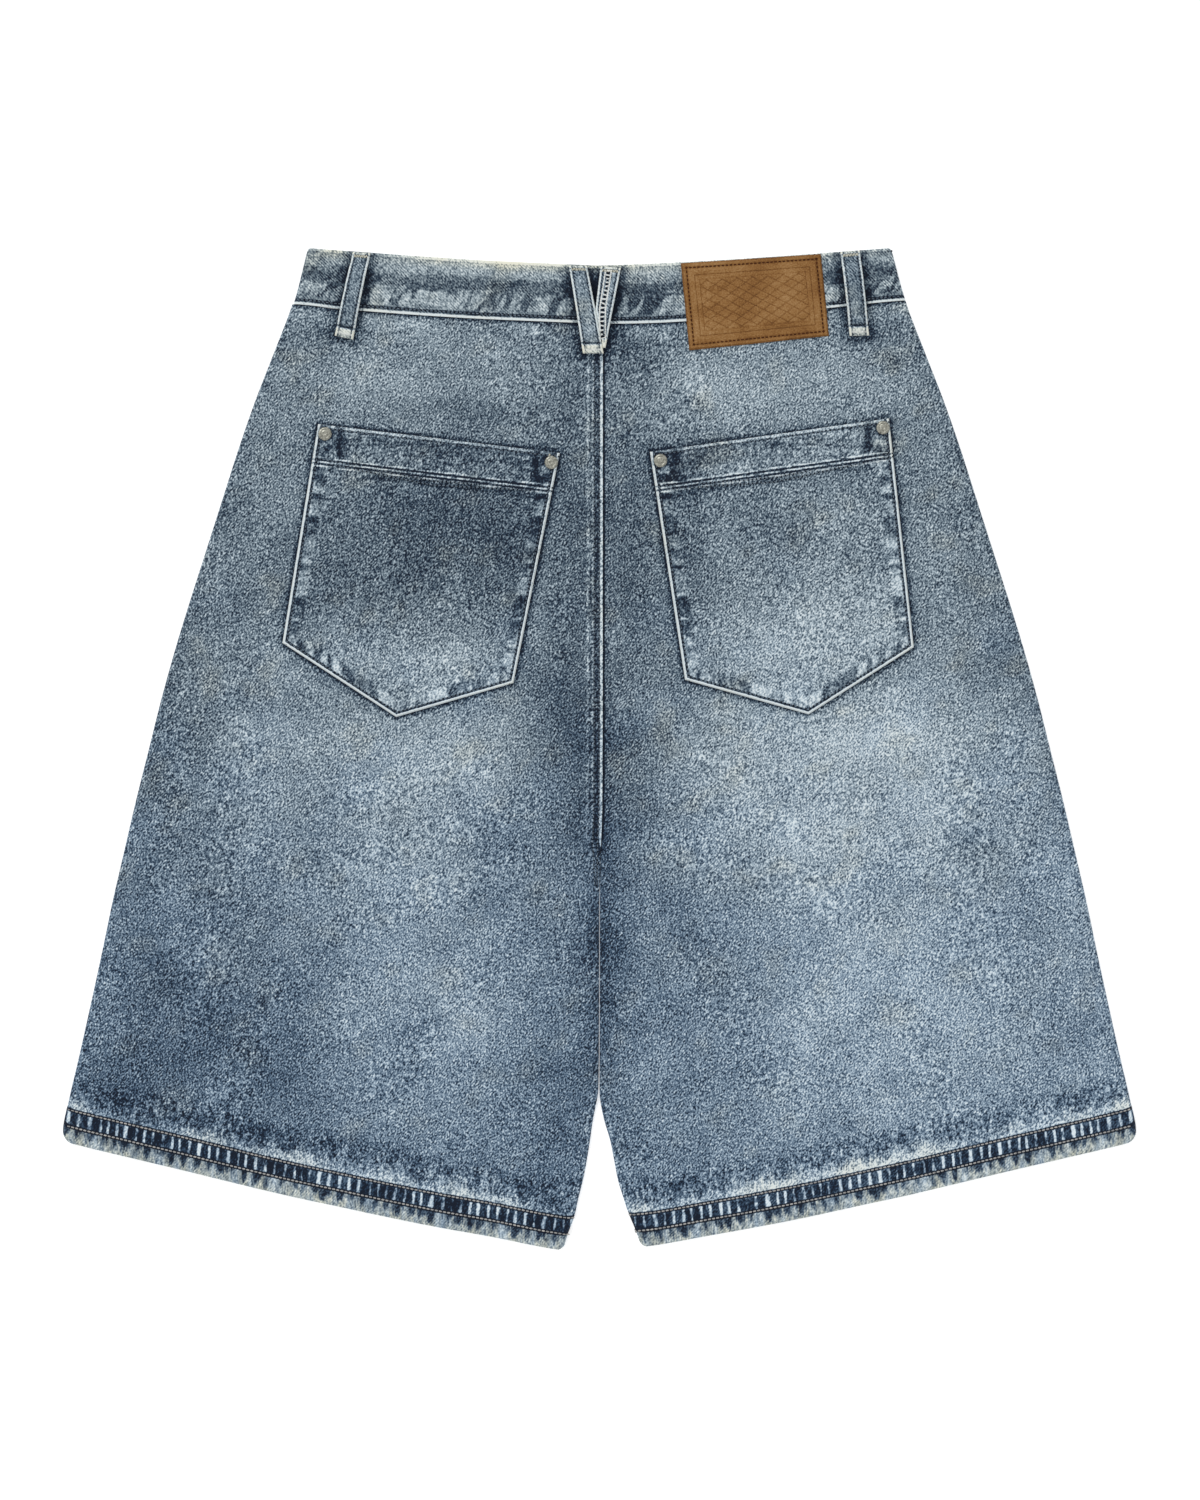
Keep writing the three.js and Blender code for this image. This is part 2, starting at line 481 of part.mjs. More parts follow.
// A turned metal piece standing on a height, from its profile of radius and height
function turned(profile, x, y, z, sides) {
  const inner = profile.slice(1, -1);
  const positions = [[x, y, z + profile[0][1]]];
  for (const [radius, height] of inner) {
    for (let k = 0; k < sides; k += 1) {
      const angle = (2 * Math.PI * k) / sides;
      positions.push([x + radius * Math.cos(angle), y + radius * Math.sin(angle), z + height]);
    }
  }
  positions.push([x, y, z + profile[profile.length - 1][1]]);
  const index = [];
  const at = (ring, k) => 1 + ring * sides + (k % sides);
  const end = positions.length - 1;
  for (let k = 0; k < sides; k += 1) {
    index.push(0, at(0, k + 1), at(0, k), end, at(inner.length - 1, k), at(inner.length - 1, k + 1));
    for (let ring = 0; ring < inner.length - 1; ring += 1) {
      index.push(at(ring, k), at(ring, k + 1), at(ring + 1, k + 1), at(ring, k), at(ring + 1, k + 1), at(ring + 1, k));
    }
  }
  const geometry = new THREE.BufferGeometry();
  geometry.setAttribute('position', new THREE.Float32BufferAttribute(positions.flat(), 3));
  geometry.setIndex(index);
  return settle(geometry);
}

const pocketFace = (x, y) => backFace(x, y) + GAP + POCKET.wall + POCKET.band_wall;

const MATERIALS = {
  denim: new THREE.MeshStandardMaterial({ color: 0x66788c, roughness: 0.95, metalness: 0 }),
  band: new THREE.MeshStandardMaterial({ color: 0x5d7084, roughness: 0.95, metalness: 0 }),
  leather: new THREE.MeshStandardMaterial({ color: 0x9a6b45, roughness: 0.7, metalness: 0 }),
  metal: new THREE.MeshStandardMaterial({ color: 0x9a9a98, roughness: 0.4, metalness: 0.9 }),
};

const group = new THREE.Group();
function add(name, geometry, material) {
  const mesh = new THREE.Mesh(geometry, material);
  mesh.name = name;
  group.add(mesh);
}

add('front_left', panel('front', -1, FRONT_ROWS, 9), MATERIALS.denim);
add('front_right', panel('front', 1, FRONT_ROWS, 9), MATERIALS.denim);
add('back_left', panel('back', -1, BACK_ROWS, 12), MATERIALS.denim);
add('back_right', panel('back', 1, BACK_ROWS, 12), MATERIALS.denim);
add('waistband', waistband(), MATERIALS.band);
add('back_pocket_left', pocket(POCKETS.left), MATERIALS.denim);
add('back_pocket_right', pocket(POCKETS.right), MATERIALS.denim);
for (const loop of LOOPS) add(loop.name, beltLoop(loop), MATERIALS.denim);
add('leather_patch', patch(), MATERIALS.leather);
for (const { name, x, y } of RIVETS) {
  add(name, turned(RIVET_PROFILE, x, y, pocketFace(x, y) + GAP + 0.1, 18), MATERIALS.metal);
}
add('waist_button', turned(BUTTON_PROFILE, BUTTON.x, BUTTON.y, 0, 28), MATERIALS.metal);

export default group;
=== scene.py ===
"""Washed denim shorts, laid flat with the back up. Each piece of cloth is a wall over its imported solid.

Places and sizes are in millimetres on the sheet that the garment lies on, and become metres in the meshes.
"""

import math

import bpy
import numpy as np
from bpy.props import FloatProperty, FloatVectorProperty, PointerProperty
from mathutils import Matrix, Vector


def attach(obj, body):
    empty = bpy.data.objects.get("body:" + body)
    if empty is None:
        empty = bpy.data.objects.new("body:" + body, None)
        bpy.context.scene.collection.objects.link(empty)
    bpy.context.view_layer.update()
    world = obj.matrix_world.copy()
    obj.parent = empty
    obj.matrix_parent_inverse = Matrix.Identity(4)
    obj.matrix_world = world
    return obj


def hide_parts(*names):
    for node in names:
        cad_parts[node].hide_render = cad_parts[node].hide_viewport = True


bl_info = {
    "name": "Denim shorts",
    "version": (1, 0, 0),
    "blender": (4, 5, 0),
    "location": "View3D > Sidebar > Shorts",
    "description": "Builds washed denim shorts laid flat, piece by piece",
    "category": "Object",
}

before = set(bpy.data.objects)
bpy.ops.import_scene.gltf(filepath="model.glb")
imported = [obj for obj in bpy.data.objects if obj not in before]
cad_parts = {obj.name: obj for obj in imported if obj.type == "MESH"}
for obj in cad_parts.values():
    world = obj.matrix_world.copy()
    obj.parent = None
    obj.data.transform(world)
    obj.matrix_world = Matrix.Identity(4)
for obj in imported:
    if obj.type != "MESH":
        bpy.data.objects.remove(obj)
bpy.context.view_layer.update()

MM = 0.001
BODY = "root"
SHEET_MIDDLE_Y = -0.3
PIXEL_MM = 0.72
# Height of the photo in pixels
PHOTO_HIGH = 1500
# Depth of the waistband
BAND_DEEP = 41
# Heights between which the raised strip of the centre seam fades out
SEAM_END = (-92, -66)
# Stitch rows of the centre seam: distance in, bend at the crotch
CENTRE_ROWS = ((2.5, 0.6), (6.2, 2.6))
# Stitch rows of the hems, above the fold
HEM_ROWS = (12.0, 24.0)
# Lengths down a pocket at its side and at its tip
POCKET_SIDE, POCKET_MIDDLE = 168, 180
# Stitch rows of a pocket: in from its edge, and below its top
POCKET_INSET, POCKET_ROWS = 3.0, (2.6, 25.6, 28.0)
# Stitch rows of a belt loop, in from its edges
LOOP_INSET = 2.1

# Cloth and layers, as in the solids
CLOTH = 1.2
HEM_WALL = 2.8
BAND_WALL = 2.2
GAP = 0.3
SKIN = 0.06
BODY_HIGH = 4.6
HEM_HIGH = 5.9
BAND_HIGH = 5.8
EDGE_ROLL = 7.0
HEM_DEEP = 25.5

SIDE_EDGE = {
    "y": (362, 321.5, 287, 251, 215, 179, 143, 107, 71, 35, -1, -37, -73, -109, -145, -181, -217, -253,
          -275, -290),
    "half": (210.4, 221, 234, 248, 260.5, 272, 283.5, 295, 306, 316, 325, 334, 342.4, 350.7, 358.2, 366,
             374, 382.3, 386.3, 386.8),
}
INNER_EDGE = {
    "y": (335, 120, -40, -75, -105, -150, -200, -246, -253, -267.5, -282, -296, -311, -325, -339.5, -354,
          -364),
    "back": (2.6, 2.5, 2.2, 1, 0.1, 0, -0.1, -0.4, -0.7, -0.7, 0.4, 0.7, 0.7, 1.1, 1.8, 2.1, 2.2),
    "front": (0, 0, 0, 0, 0, 0, -0.1, -0.4, -0.7, -0.7, 0.4, 0.7, 0.7, 1.1, 1.8, 2.1, 2.2),
    "half_gap": (0.15, 0.15, 0.15, 0.15, 0.16, 0.18, 0.2, 0.4, 1.1, 4, 7.2, 9.7, 12.6, 16.5, 20.2, 24.8,
                 27.4),
}
HEM_EDGE = {
    "from_middle": (24, 42.8, 78.8, 114.8, 150.8, 186.8, 222.8, 258.8, 294.8, 330.8, 366.8, 388),
    "left": (-362, -358.9, -351.6, -345.2, -338, -330.3, -322.6, -314.1, -305.2, -296.6, -288, -282.6),
    "right": (-359.8, -357.6, -351.1, -344.6, -337.5, -329.6, -321.8, -313.2, -304.6, -296.2, -287.8,
              -282.4),
}

BUTTON_AT = (-14.0, 313.0)
BUTTON_LIFT = {"flat": 13, "reach": 92, "high": 3.1}
BAND_LAP = {"high": 2.5, "slope_from": 4, "slope_to": 42, "down_to_y": 230}
LAP_LIFT = {"high": 1.6, "near": 46, "far": 95, "top_y": 282, "low_y": 190}

# The largest soft folds of the back: x0, y0, x1, y1, wide, high
FOLDS = (
    (-62, -8, -215, -52, 17, 0.9), (-34, -70, -205, -138, 20, 0.9), (-44, -42, -214, -96, 15, -0.6),
    (-60, -128, -170, -262, 24, 0.7), (-292, 66, -318, -110, 18, 0.8), (-262, 20, -284, -190, 20, -0.6),
    (-226, -150, -268, -272, 22, 0.8), (58, -6, 206, -40, 16, 0.9), (30, -64, 214, -120, 21, 1.0),
    (46, -36, 226, -80, 15, -0.6), (54, -130, 150, -268, 23, 0.8), (286, 60, 316, -126, 19, 0.8),
    (256, 10, 282, -176, 20, -0.6), (208, -168, 262, -280, 22, 0.7), (-108, 288, -186, 262, 11, 0.5),
    (112, 282, 196, 268, 11, 0.5), (-214, 232, -252, 96, 12, 0.6), (220, 228, 254, 90, 12, 0.6),
    (-22, 192, -30, 20, 12, 0.5), (26, 186, 34, 16, 12, 0.5),
)

# Where the wash has left the back paler or darker:
# x, y, reach across, reach along, turn in degrees, strength
BACK_FADES = (
    (-129, 262, 80, 26, 0, 0.085), (-7, 286, 34, 28, 0, -0.08), (-22, 125, 17, 100, 0, -0.09),
    (-145, 0, 100, 26, -6, 0.11), (-144, -75, 46, 62, 0, 0.10), (-100, -35, 40, 26, 20, 0.06),
    (-130, -190, 62, 70, 0, 0.07), (-258, -205, 62, 56, 8, -0.12), (-345, -235, 28, 50, 14, -0.12),
    (-232, -10, 36, 64, 0, 0.04), (0, -135, 13, 120, 0, -0.13), (-30, -262, 26, 44, 0, -0.07),
    (-300, 20, 22, 110, 12, -0.05), (-240, 190, 20, 60, 16, -0.02),
    (105, 258, 62, 26, 0, 0.13), (190, 262, 40, 24, 0, 0.05), (24, 165, 16, 82, 0, -0.10),
    (232, 150, 20, 80, 0, 0.02), (172, -10, 118, 52, 0, 0.15), (205, 10, 46, 26, 0, 0.09),
    (150, -65, 90, 40, -8, 0.08), (186, -170, 60, 100, 0, 0.13), (276, -170, 62, 84, 0, 0.10),
    (100, -190, 60, 70, 0, 0.01), (60, -40, 36, 50, 0, 0.01), (318, -70, 26, 120, 12, 0.02),
    (30, -290, 30, 40, 0, -0.04), (346, 10, 16, 120, 14, -0.03), (-70, -120, 30, 60, 0, 0.01),
    (-205, 292, 30, 26, 0, -0.03), (206, 288, 28, 28, 0, -0.07), (10, 292, 26, 14, 0, -0.12),
    (-6, -20, 42, 260, 0, -0.055), (-100, 294, 26, 10, 0, 0.04), (72, 270, 20, 12, 0, 0.05),
    (-100, 243, 74, 12, -4, -0.09), (231, 200, 14, 34, 0, -0.06), (-8, 168, 26, 40, 0, -0.05),
    (-234, 62, 16, 18, 0, 0.05), (-214, 42, 18, 14, 0, 0.05), (232, 66, 16, 22, 0, 0.06),
    (-276, 26, 26, 24, 0, -0.06), (-112, 16, 24, 14, 0, 0.06), (130, 34, 74, 14, 0, 0.07),
    (0, 4, 54, 40, 0, -0.13), (34, -44, 40, 24, 0, -0.07), (248, -44, 34, 20, 0, 0.05),
    (15, -110, 20, 44, 0, -0.05), (-86, -110, 16, 16, 0, -0.05), (172, -110, 20, 16, 0, 0.06),
    (350, -120, 16, 70, 12, 0.06), (-318, -140, 22, 60, 10, -0.05), (30, -186, 58, 30, 0, -0.06),
    (-188, -186, 22, 20, 0, 0.05), (204, -186, 14, 14, 0, -0.06), (144, -210, 16, 30, 0, 0.05),
    (364, -234, 18, 22, 0, 0.08), (-144, -236, 16, 14, 0, -0.05), (-258, -274, 36, 20, 14, -0.08),
    (274, -262, 28, 14, 0, 0.06), (-42, -312, 22, 34, 0, -0.07), (322, -280, 50, 14, -12, 0.05),
    (128, -326, 26, 14, 0, 0.05), (-172, -322, 18, 14, 0, -0.05), (-322, -205, 44, 76, 10, -0.06),
    (-316, -22, 20, 50, 8, -0.06), (-262, 140, 20, 44, 16, -0.05), (202, 40, 22, 12, 0, 0.1),
    (146, 14, 66, 14, 0, 0.05), (-228, -276, 34, 22, 14, -0.04), (-140, -284, 44, 14, 12, -0.06),
    (60, -108, 14, 14, 0, -0.04), (88, -172, 14, 22, 0, -0.04), (290, 80, 16, 26, 0, -0.05),
)
POCKET_FADES = (
    (-115, 160, 84, 56, 0, -0.19), (-46, 130, 18, 76, 8, -0.11), (-128, 62, 62, 22, 8, 0.14),
    (-190, 74, 38, 26, 0, 0.03), (-170, 220, 30, 16, 0, 0.01), (-100, 220, 74, 12, -7, -0.06),
    (-190, 108, 26, 22, 0, -0.05), (-72, 105, 22, 26, 0, -0.05), (88, 194, 16, 16, 0, 0.05),
    (70, 106, 22, 18, 0, -0.05), (145, 106, 30, 14, 0, 0.03), (116, 66, 18, 14, 0, 0.05),
    (130, 42, 60, 14, 0, 0.07),
    (58, 165, 20, 76, -6, -0.12), (130, 165, 50, 40, 0, -0.05), (190, 140, 46, 52, 0, 0.03),
    (150, 78, 76, 36, 0, 0.16), (205, 95, 26, 44, 0, 0.06), (120, 222, 80, 12, 8, -0.03),
    (-190, 132, 22, 26, 0, -0.06),
)
FRONT_FADES = (
    (-150, 60, 70, 150, 4, 0.14), (150, 60, 70, 150, -4, 0.14), (-160, -160, 70, 110, 0, 0.1),
    (160, -160, 70, 110, 0, 0.1), (0, 120, 20, 200, 0, -0.08), (-330, -120, 30, 180, 12, -0.08),
    (330, -120, 30, 180, -12, -0.08), (-60, 10, 80, 14, 16, 0.06), (60, 10, 80, 14, -16, 0.06),
)
BAND_FADES = (
    (-60, 350, 70, 10, 0, 0.08), (-7, 330, 14, 24, 0, -0.2),
    (40, 350, 30, 10, 0, 0.08), (-190, 340, 14, 14, 0, -0.02), (50, 330, 14, 22, 0, -0.02),
    (-115, 318, 50, 9, 0, 0.07), (205, 340, 12, 14, 0, 0.03), (-212, 322, 14, 7, 0, 0.04),
    (-201, 346, 14, 12, 0, -0.05), (-100, 345, 46, 12, 0, 0.05), (-186, 322, 18, 12, 0, -0.09),
    (29, 319, 32, 12, 0, -0.06), (212, 322, 18, 12, 0, -0.08),
)
LOOP_FADES = (
    (-175, 345, 12, 22, 0, 0.03), (-8, 330, 30, 40, 0, 0.06), (8, 330, 8, 40, 0, 0.06),
)

POCKETS = {
    "left": {"top_left": (-202.6, 233.6), "top_right": (-28.6, 212.7), "low_right": (-62, 47.2),
             "tip": (-146.4, 22.7), "low_left": (-228.3, 76)},
    "right": {"top_left": (36.3, 213.5), "top_right": (208.4, 237.7), "low_right": (226.3, 72.9),
              "tip": (150.6, 24.6), "low_left": (61.6, 49.5)},
}
POCKET = {"wall": 1.4, "turned_in": 8.5, "turned_wall": 1.0, "band": 29, "band_wall": 1.0, "wide": 170}

RIVETS = {
    "rivet_left_outer": (-197.6, 226.5), "rivet_left_inner": (-34.7, 205.9),
    "rivet_right_inner": (43.9, 207.2), "rivet_right_outer": (204.1, 230.9),
}
RIVET_PROFILE = (
    (0, 0), (4.5, 0), (4.9, 0.25), (4.85, 0.55), (4.6, 0.9), (4.2, 1.15), (3.75, 1.3), (3.4, 1.36),
    (3.15, 1.3), (3.0, 1.14), (2.8, 1.1), (2.6, 1.2), (2.2, 1.4), (1.7, 1.52), (1.2, 1.56), (0.9, 1.46),
    (0.6, 1.36), (0, 1.34),
)
BUTTON_PROFILE = (
    (0, 0.6), (2.6, 0.6), (3.0, 0.35), (3.4, 0.6), (5.4, 0.6), (5.9, 0.3), (6.4, 0.04), (7.4, 0.02),
    (8.1, 0.3), (8.5, 0.9), (8.4, 1.6), (8.1, 2.2), (7.2, 2.7), (0, 2.8),
)

LOOPS = {
    "belt_loop_back_left": {"top_left": (-177.5, 357.4), "top_right": (-164.9, 356.6),
                            "low_left": (-190.6, 297.4), "low_right": (-177.5, 294.4)},
    "belt_loop_back_right": {"top_left": (173.4, 357.4), "top_right": (187.3, 358.6),
                             "low_left": (180.2, 297.1), "low_right": (194.1, 297.4)},
    "belt_loop_centre_left": {"top_left": (-22, 347.2), "top_right": (-9, 347),
                              "low_left": (-11.9, 284), "low_right": (3, 284)},
    "belt_loop_centre_right": {"top_left": (0.8, 346.6), "top_right": (15.4, 345.4),
                               "low_left": (-6, 288), "low_right": (4.3, 288),
                               "behind": "belt_loop_centre_left"},
}
LOOP = {"wall": 2.0, "sewn": 8, "clear": 4.9, "end_fold": 6.5, "end_wall": 0.9}

PATCH = {"top_left": (58.5, 349.2), "top_right": (159.3, 356), "low_right": (165.2, 297.2),
         "low_left": (64.7, 286.7), "wall": 1.8, "wide": 101, "high": 61}

# The lower edge of the waistband, which dips a little to the right of the middle
BAND_EDGE = {
    "x": (-225, -208, -190, -165, -130, -100, -74, -48, -22, 10, 30, 52, 90, 130, 167, 200, 225),
    "y": (320.6, 319.2, 317, 314.8, 312.2, 310.3, 308.8, 307.5, 306.4, 305.6, 305.9, 306.9, 309.8, 313.6,
          317.5, 321.1, 323.3),
}

# Where the hems are rubbed pale above their stitches: x, reach along the hem, strength
HEM_RUBS = (
    (-376, 13, 0.75), (-345, 12, 0.3), (-283, 26, 0.85), (-214, 30, 0.75), (-150, 26, 0.55),
    (-100, 22, 0.75), (-62, 20, 0.6), (30, 14, 0.8), (66, 16, 0.45), (122, 34, 1.0), (190, 26, 1.0),
    (240, 26, 0.75), (300, 26, 0.45), (345, 18, 0.7), (378, 12, 1.0),
)

# Denim from the darkest dye to bare cotton: place on the ramp, then the tone as screen values
STEEL_TONES = (
    (0.08, (8, 20, 38)), (0.2, (27, 46, 67)), (0.32, (61, 79, 95)), (0.45, (99, 115, 128)),
    (0.58, (133, 149, 160)), (0.7, (162, 178, 189)), (0.82, (190, 205, 214)), (0.94, (222, 232, 236)),
)
CREAM_TONES = (
    (0.08, (20, 24, 32)), (0.25, (56, 64, 70)), (0.45, (114, 122, 122)), (0.6, (158, 163, 154)),
    (0.75, (198, 200, 184)), (0.92, (232, 231, 214)),
)
BLUE_TONES = (
    (0.08, (7, 20, 38)), (0.2, (26, 47, 70)), (0.32, (57, 79, 102)), (0.45, (92, 114, 136)),
    (0.58, (127, 148, 168)), (0.7, (159, 179, 196)), (0.82, (191, 209, 222)), (0.94, (224, 236, 242)),
)


def tone(screen):
    """A screen colour from 0 to 255 as the linear colour that a shader takes."""
    linear = [((v / 255 + 0.055) / 1.055) ** 2.4 if v > 10 else v / 255 / 12.92 for v in screen]
    return (*linear, 1.0)


def mix(a, b, t):
    return a + (b - a) * t


def smooth(start, end, value):
    t = np.clip((value - start) / (end - start), 0, 1)
    return t * t * (3 - 2 * t)


def bell(offset, wide):
    return np.exp(-((offset / wide) ** 2))


def along(table, key, column, at):
    """One column of a table at places along another column, on a smooth curve through the rows."""
    keys, values = np.array(table[key], float), np.array(table[column], float)
    if keys[0] > keys[-1]:
        keys, values = keys[::-1], values[::-1]
    at = np.clip(np.asarray(at, float), keys[0], keys[-1])
    i = np.clip(np.searchsorted(keys, at) - 1, 0, len(keys) - 2)
    slope = np.empty_like(values)
    slope[1:-1] = (values[2:] - values[:-2]) / (keys[2:] - keys[:-2])
    slope[0] = (values[1] - values[0]) / (keys[1] - keys[0])
    slope[-1] = (values[-1] - values[-2]) / (keys[-1] - keys[-2])
    wide = keys[i + 1] - keys[i]
    t = (at - keys[i]) / wide
    a, b, da, db = values[i], values[i + 1], slope[i] * wide, slope[i + 1] * wide
    return a + t * (da + t * (3 * (b - a) - 2 * da - db + t * (2 * (a - b) + da + db)))


def patchy(x, y, size, seed):
    """Soft unevenness from -1 to 1 with spots of about this size, the same each run."""
    lattice = np.random.default_rng(seed).uniform(-1, 1, (96, 96))
    u, v = np.asarray(x, float) / size + 48, np.asarray(y, float) / size + 48
    i, j = np.floor(u).astype(int), np.floor(v).astype(int)
    s, t = smooth(0, 1, u - i), smooth(0, 1, v - j)
    i, j = i % 95, j % 95
    low = mix(lattice[i, j], lattice[i + 1, j], s)
    high = mix(lattice[i, j + 1], lattice[i + 1, j + 1], s)
    return mix(low, high, t)


def half_width(y):
    return along(SIDE_EDGE, "y", "half", y)


def band_top(x):
    return 347.5 + 12.3 * (np.abs(x) / 200) ** 1.25


def band_low(x):
    return along(BAND_EDGE, "x", "y", x)


def front_low(x):
    return 306.3 + 14.8 * (np.abs(x) / 215) ** 1.25 + 0.006 * x


def front_drop(x):
    return 14 * np.maximum(0, 1 - (x / 212) ** 2) ** 2


def hem_edge(x):
    x = np.asarray(x, float)
    left, right = along(HEM_EDGE, "from_middle", "left", -x), along(HEM_EDGE, "from_middle", "right", x)
    return np.where(x < 0, left, right)


def inner_edge(side, leg, y):
    half_gap = np.maximum(0.15, along(INNER_EDGE, "y", "half_gap", y))
    return along(INNER_EDGE, "y", side, y) + leg * half_gap


def button_lift(x, y):
    away = np.hypot(x - BUTTON_AT[0], y - BUTTON_AT[1])
    return BUTTON_LIFT["high"] * (1 - smooth(BUTTON_LIFT["flat"], BUTTON_LIFT["reach"], away))


def lap_lift(x, y):
    across = 1 - smooth(LAP_LIFT["near"], LAP_LIFT["far"], np.abs(x))
    return LAP_LIFT["high"] * across * smooth(LAP_LIFT["low_y"], LAP_LIFT["top_y"], y)


def lap_rise(x, y):
    across = 1 - smooth(BAND_LAP["slope_from"], BAND_LAP["slope_to"], x)
    return BAND_LAP["high"] * across * smooth(BAND_LAP["down_to_y"], 290, y)


def folds(x, y):
    total = np.zeros_like(x)
    for x0, y0, x1, y1, wide, high in FOLDS:
        dx, dy = x1 - x0, y1 - y0
        long = math.hypot(dx, dy)
        t = ((x - x0) * dx + (y - y0) * dy) / long**2
        off = ((x - x0) * dy - (y - y0) * dx) / long
        total += high * smooth(-0.18, 0.22, t) * (1 - smooth(0.78, 1.18, t)) * bell(off, wide)
    return total


def body_high(up):
    return mix(HEM_HIGH, BODY_HIGH, smooth(HEM_DEEP - 2, HEM_DEEP + 38, up))


def hem_wall(up):
    return mix(HEM_WALL, CLOTH, smooth(HEM_DEEP, HEM_DEEP + 2.5, up))


def back_face(x, y):
    """The height of the back's outer face, away from its rolled edges."""
    up = y - hem_edge(x)
    soft = folds(x, y) * smooth(HEM_DEEP, HEM_DEEP + 40, up) * (1 - smooth(270, 300, y))
    return body_high(up) + soft + button_lift(x, y) + lap_lift(x, y)


def band_face(x, y):
    return BAND_HIGH + button_lift(x, y) + lap_lift(x, y)


def felt_seam(inside, y):
    """The thick felled strip beside the centre back seam, with the pull of its two rows of stitches."""
    strip = 1.2 * (1 - smooth(9.5, 11, inside)) * smooth(*SEAM_END, y)
    rows = 0.28 * bell(inside - 2.5, 0.8) + 0.28 * bell(inside - 6.2, 0.8)
    return strip - rows * smooth(*SEAM_END, y)


def back_top(x, y):
    seam = inner_edge("back", -1, y)
    strip = smooth(seam - 15, seam - 10.8, x) * (1 - smooth(seam + 0.4, seam + 4.6, x))
    return back_face(x, y) + 1.25 * strip * smooth(*SEAM_END, y)


def seam_face(x, y, slope):
    """What a piece that spans the waist seam lies on: the waistband, then a slope down to the back."""
    on_band = smooth(band_low(x) - slope, band_low(x) - 0.8, y)
    face = mix(back_face(x, y), band_face(x, y), on_band)
    return np.where(y < band_low(x), np.maximum(face, back_top(x, y)), face)


def fade_and_shade(x, y, spots):
    """How much paler the wash has left the cloth than its middle tone. The panels, pockets and waistband
    then take painted shadows off this in the same attribute.
    """
    total = np.zeros_like(x)
    for x0, y0, across, down, turn, strength in spots:
        cos, sin = math.cos(math.radians(turn)), math.sin(math.radians(turn))
        u = ((x - x0) * cos + (y - y0) * sin) / across
        v = ((y - y0) * cos - (x - x0) * sin) / down
        total += strength * np.exp(-(u * u + v * v))
    return total + 0.035 * patchy(x, y, 34, 3) + 0.025 * patchy(x, y, 15, 4)


def polygon_distance(x, y, corners):
    """How far places are from a closed outline."""
    best = np.full(np.shape(x), 1e9)
    for (ax, ay), (bx, by) in zip(corners, [*corners[1:], corners[0]], strict=True):
        dx, dy = bx - ax, by - ay
        t = np.clip(((x - ax) * dx + (y - ay) * dy) / (dx * dx + dy * dy), 0, 1)
        best = np.minimum(best, np.hypot(x - ax - t * dx, y - ay - t * dy))
    return best


def steps(*stops):
    """Rising distances from pairs of an end and a step: (14, 0.7) goes on to 14 by steps of about 0.7."""
    places = [0.0]
    for end, step in stops:
        count = max(1, round((end - places[-1]) / step))
        places.extend(np.linspace(places[-1], end, count + 1)[1:])
    return np.array(places)


def cloth_mesh(name, outer, inner, looks, weld_low=False):
    """A closed wall from the rows and columns of points on its two faces, with its looks on every point."""
    rows, cols = outer.shape[:2]
    out_id = np.arange(rows * cols).reshape(rows, cols)
    in_id = out_id + rows * cols
    if weld_low:
        in_id[-1] = out_id[-1]
    a, b, c, d = out_id[:-1, :-1], out_id[1:, :-1], out_id[1:, 1:], out_id[:-1, 1:]
    quads = [np.stack([a, b, c, d], -1).reshape(-1, 4)]
    a, b, c, d = in_id[:-1, :-1], in_id[:-1, 1:], in_id[1:, 1:], in_id[1:, :-1]
    quads.append(np.stack([a, b, c, d], -1).reshape(-1, 4))
    quads.append(np.stack([out_id[0, :-1], out_id[0, 1:], in_id[0, 1:], in_id[0, :-1]], -1))
    if not weld_low:
        quads.append(np.stack([out_id[-1, 1:], out_id[-1, :-1], in_id[-1, :-1], in_id[-1, 1:]], -1))
    quads.append(np.stack([out_id[1:, 0], out_id[:-1, 0], in_id[:-1, 0], in_id[1:, 0]], -1))
    quads.append(np.stack([out_id[:-1, -1], out_id[1:, -1], in_id[1:, -1], in_id[:-1, -1]], -1))
    faces = [list(dict.fromkeys(quad)) for quad in np.concatenate(quads).tolist()]
    points = np.concatenate([outer.reshape(-1, 3), inner.reshape(-1, 3)])
    return finish_mesh(name, points, faces, looks, rows * cols)


def finish_mesh(name, points, faces, looks, outer_count):
    """The object of a closed mesh, faces outwards, in metres, with its looks as attributes."""
    points = (points - np.array([0, SHEET_MIDDLE_Y, 0])) * MM
    used = np.zeros(len(points), bool)
    used[[corner for face in faces for corner in face]] = True
    place = np.cumsum(used) - 1
    corners = np.array([face[:3] for face in faces])
    a, b, c = (points[corners[:, k]] for k in range(3))
    outwards = float((a * np.cross(b, c)).sum()) > 0
    faces = [[int(place[k]) for k in (face if outwards else face[::-1])] for face in faces]
    mesh = bpy.data.meshes.new(name)
    mesh.from_pydata(points[used].tolist(), [], faces)
    for key, values in looks.items():
        both = np.concatenate([values.reshape(-1), values.reshape(-1)])[: len(points)]
        data = mesh.attributes.new(key, "FLOAT", "POINT").data
        data.foreach_set("value", both[used].astype(np.float32))
    reverse = (np.arange(len(points)) >= outer_count).astype(np.float32)
    mesh.attributes.new("reverse", "FLOAT", "POINT").data.foreach_set("value", reverse[used])
    mesh.shade_smooth()
    mesh.set_sharp_from_angle(angle=math.radians(48))
    piece = bpy.data.objects.new(name, mesh)
    bpy.context.scene.collection.objects.link(piece)
    return piece


def place_piece(piece, material, stands_for=None):
    """Gives a piece its finish and puts it in the frame."""
    if material is not None:
        piece.data.materials.clear()
        piece.data.materials.append(material)
    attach(piece, BODY)
    if stands_for:
        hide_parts(stands_for)
    return piece


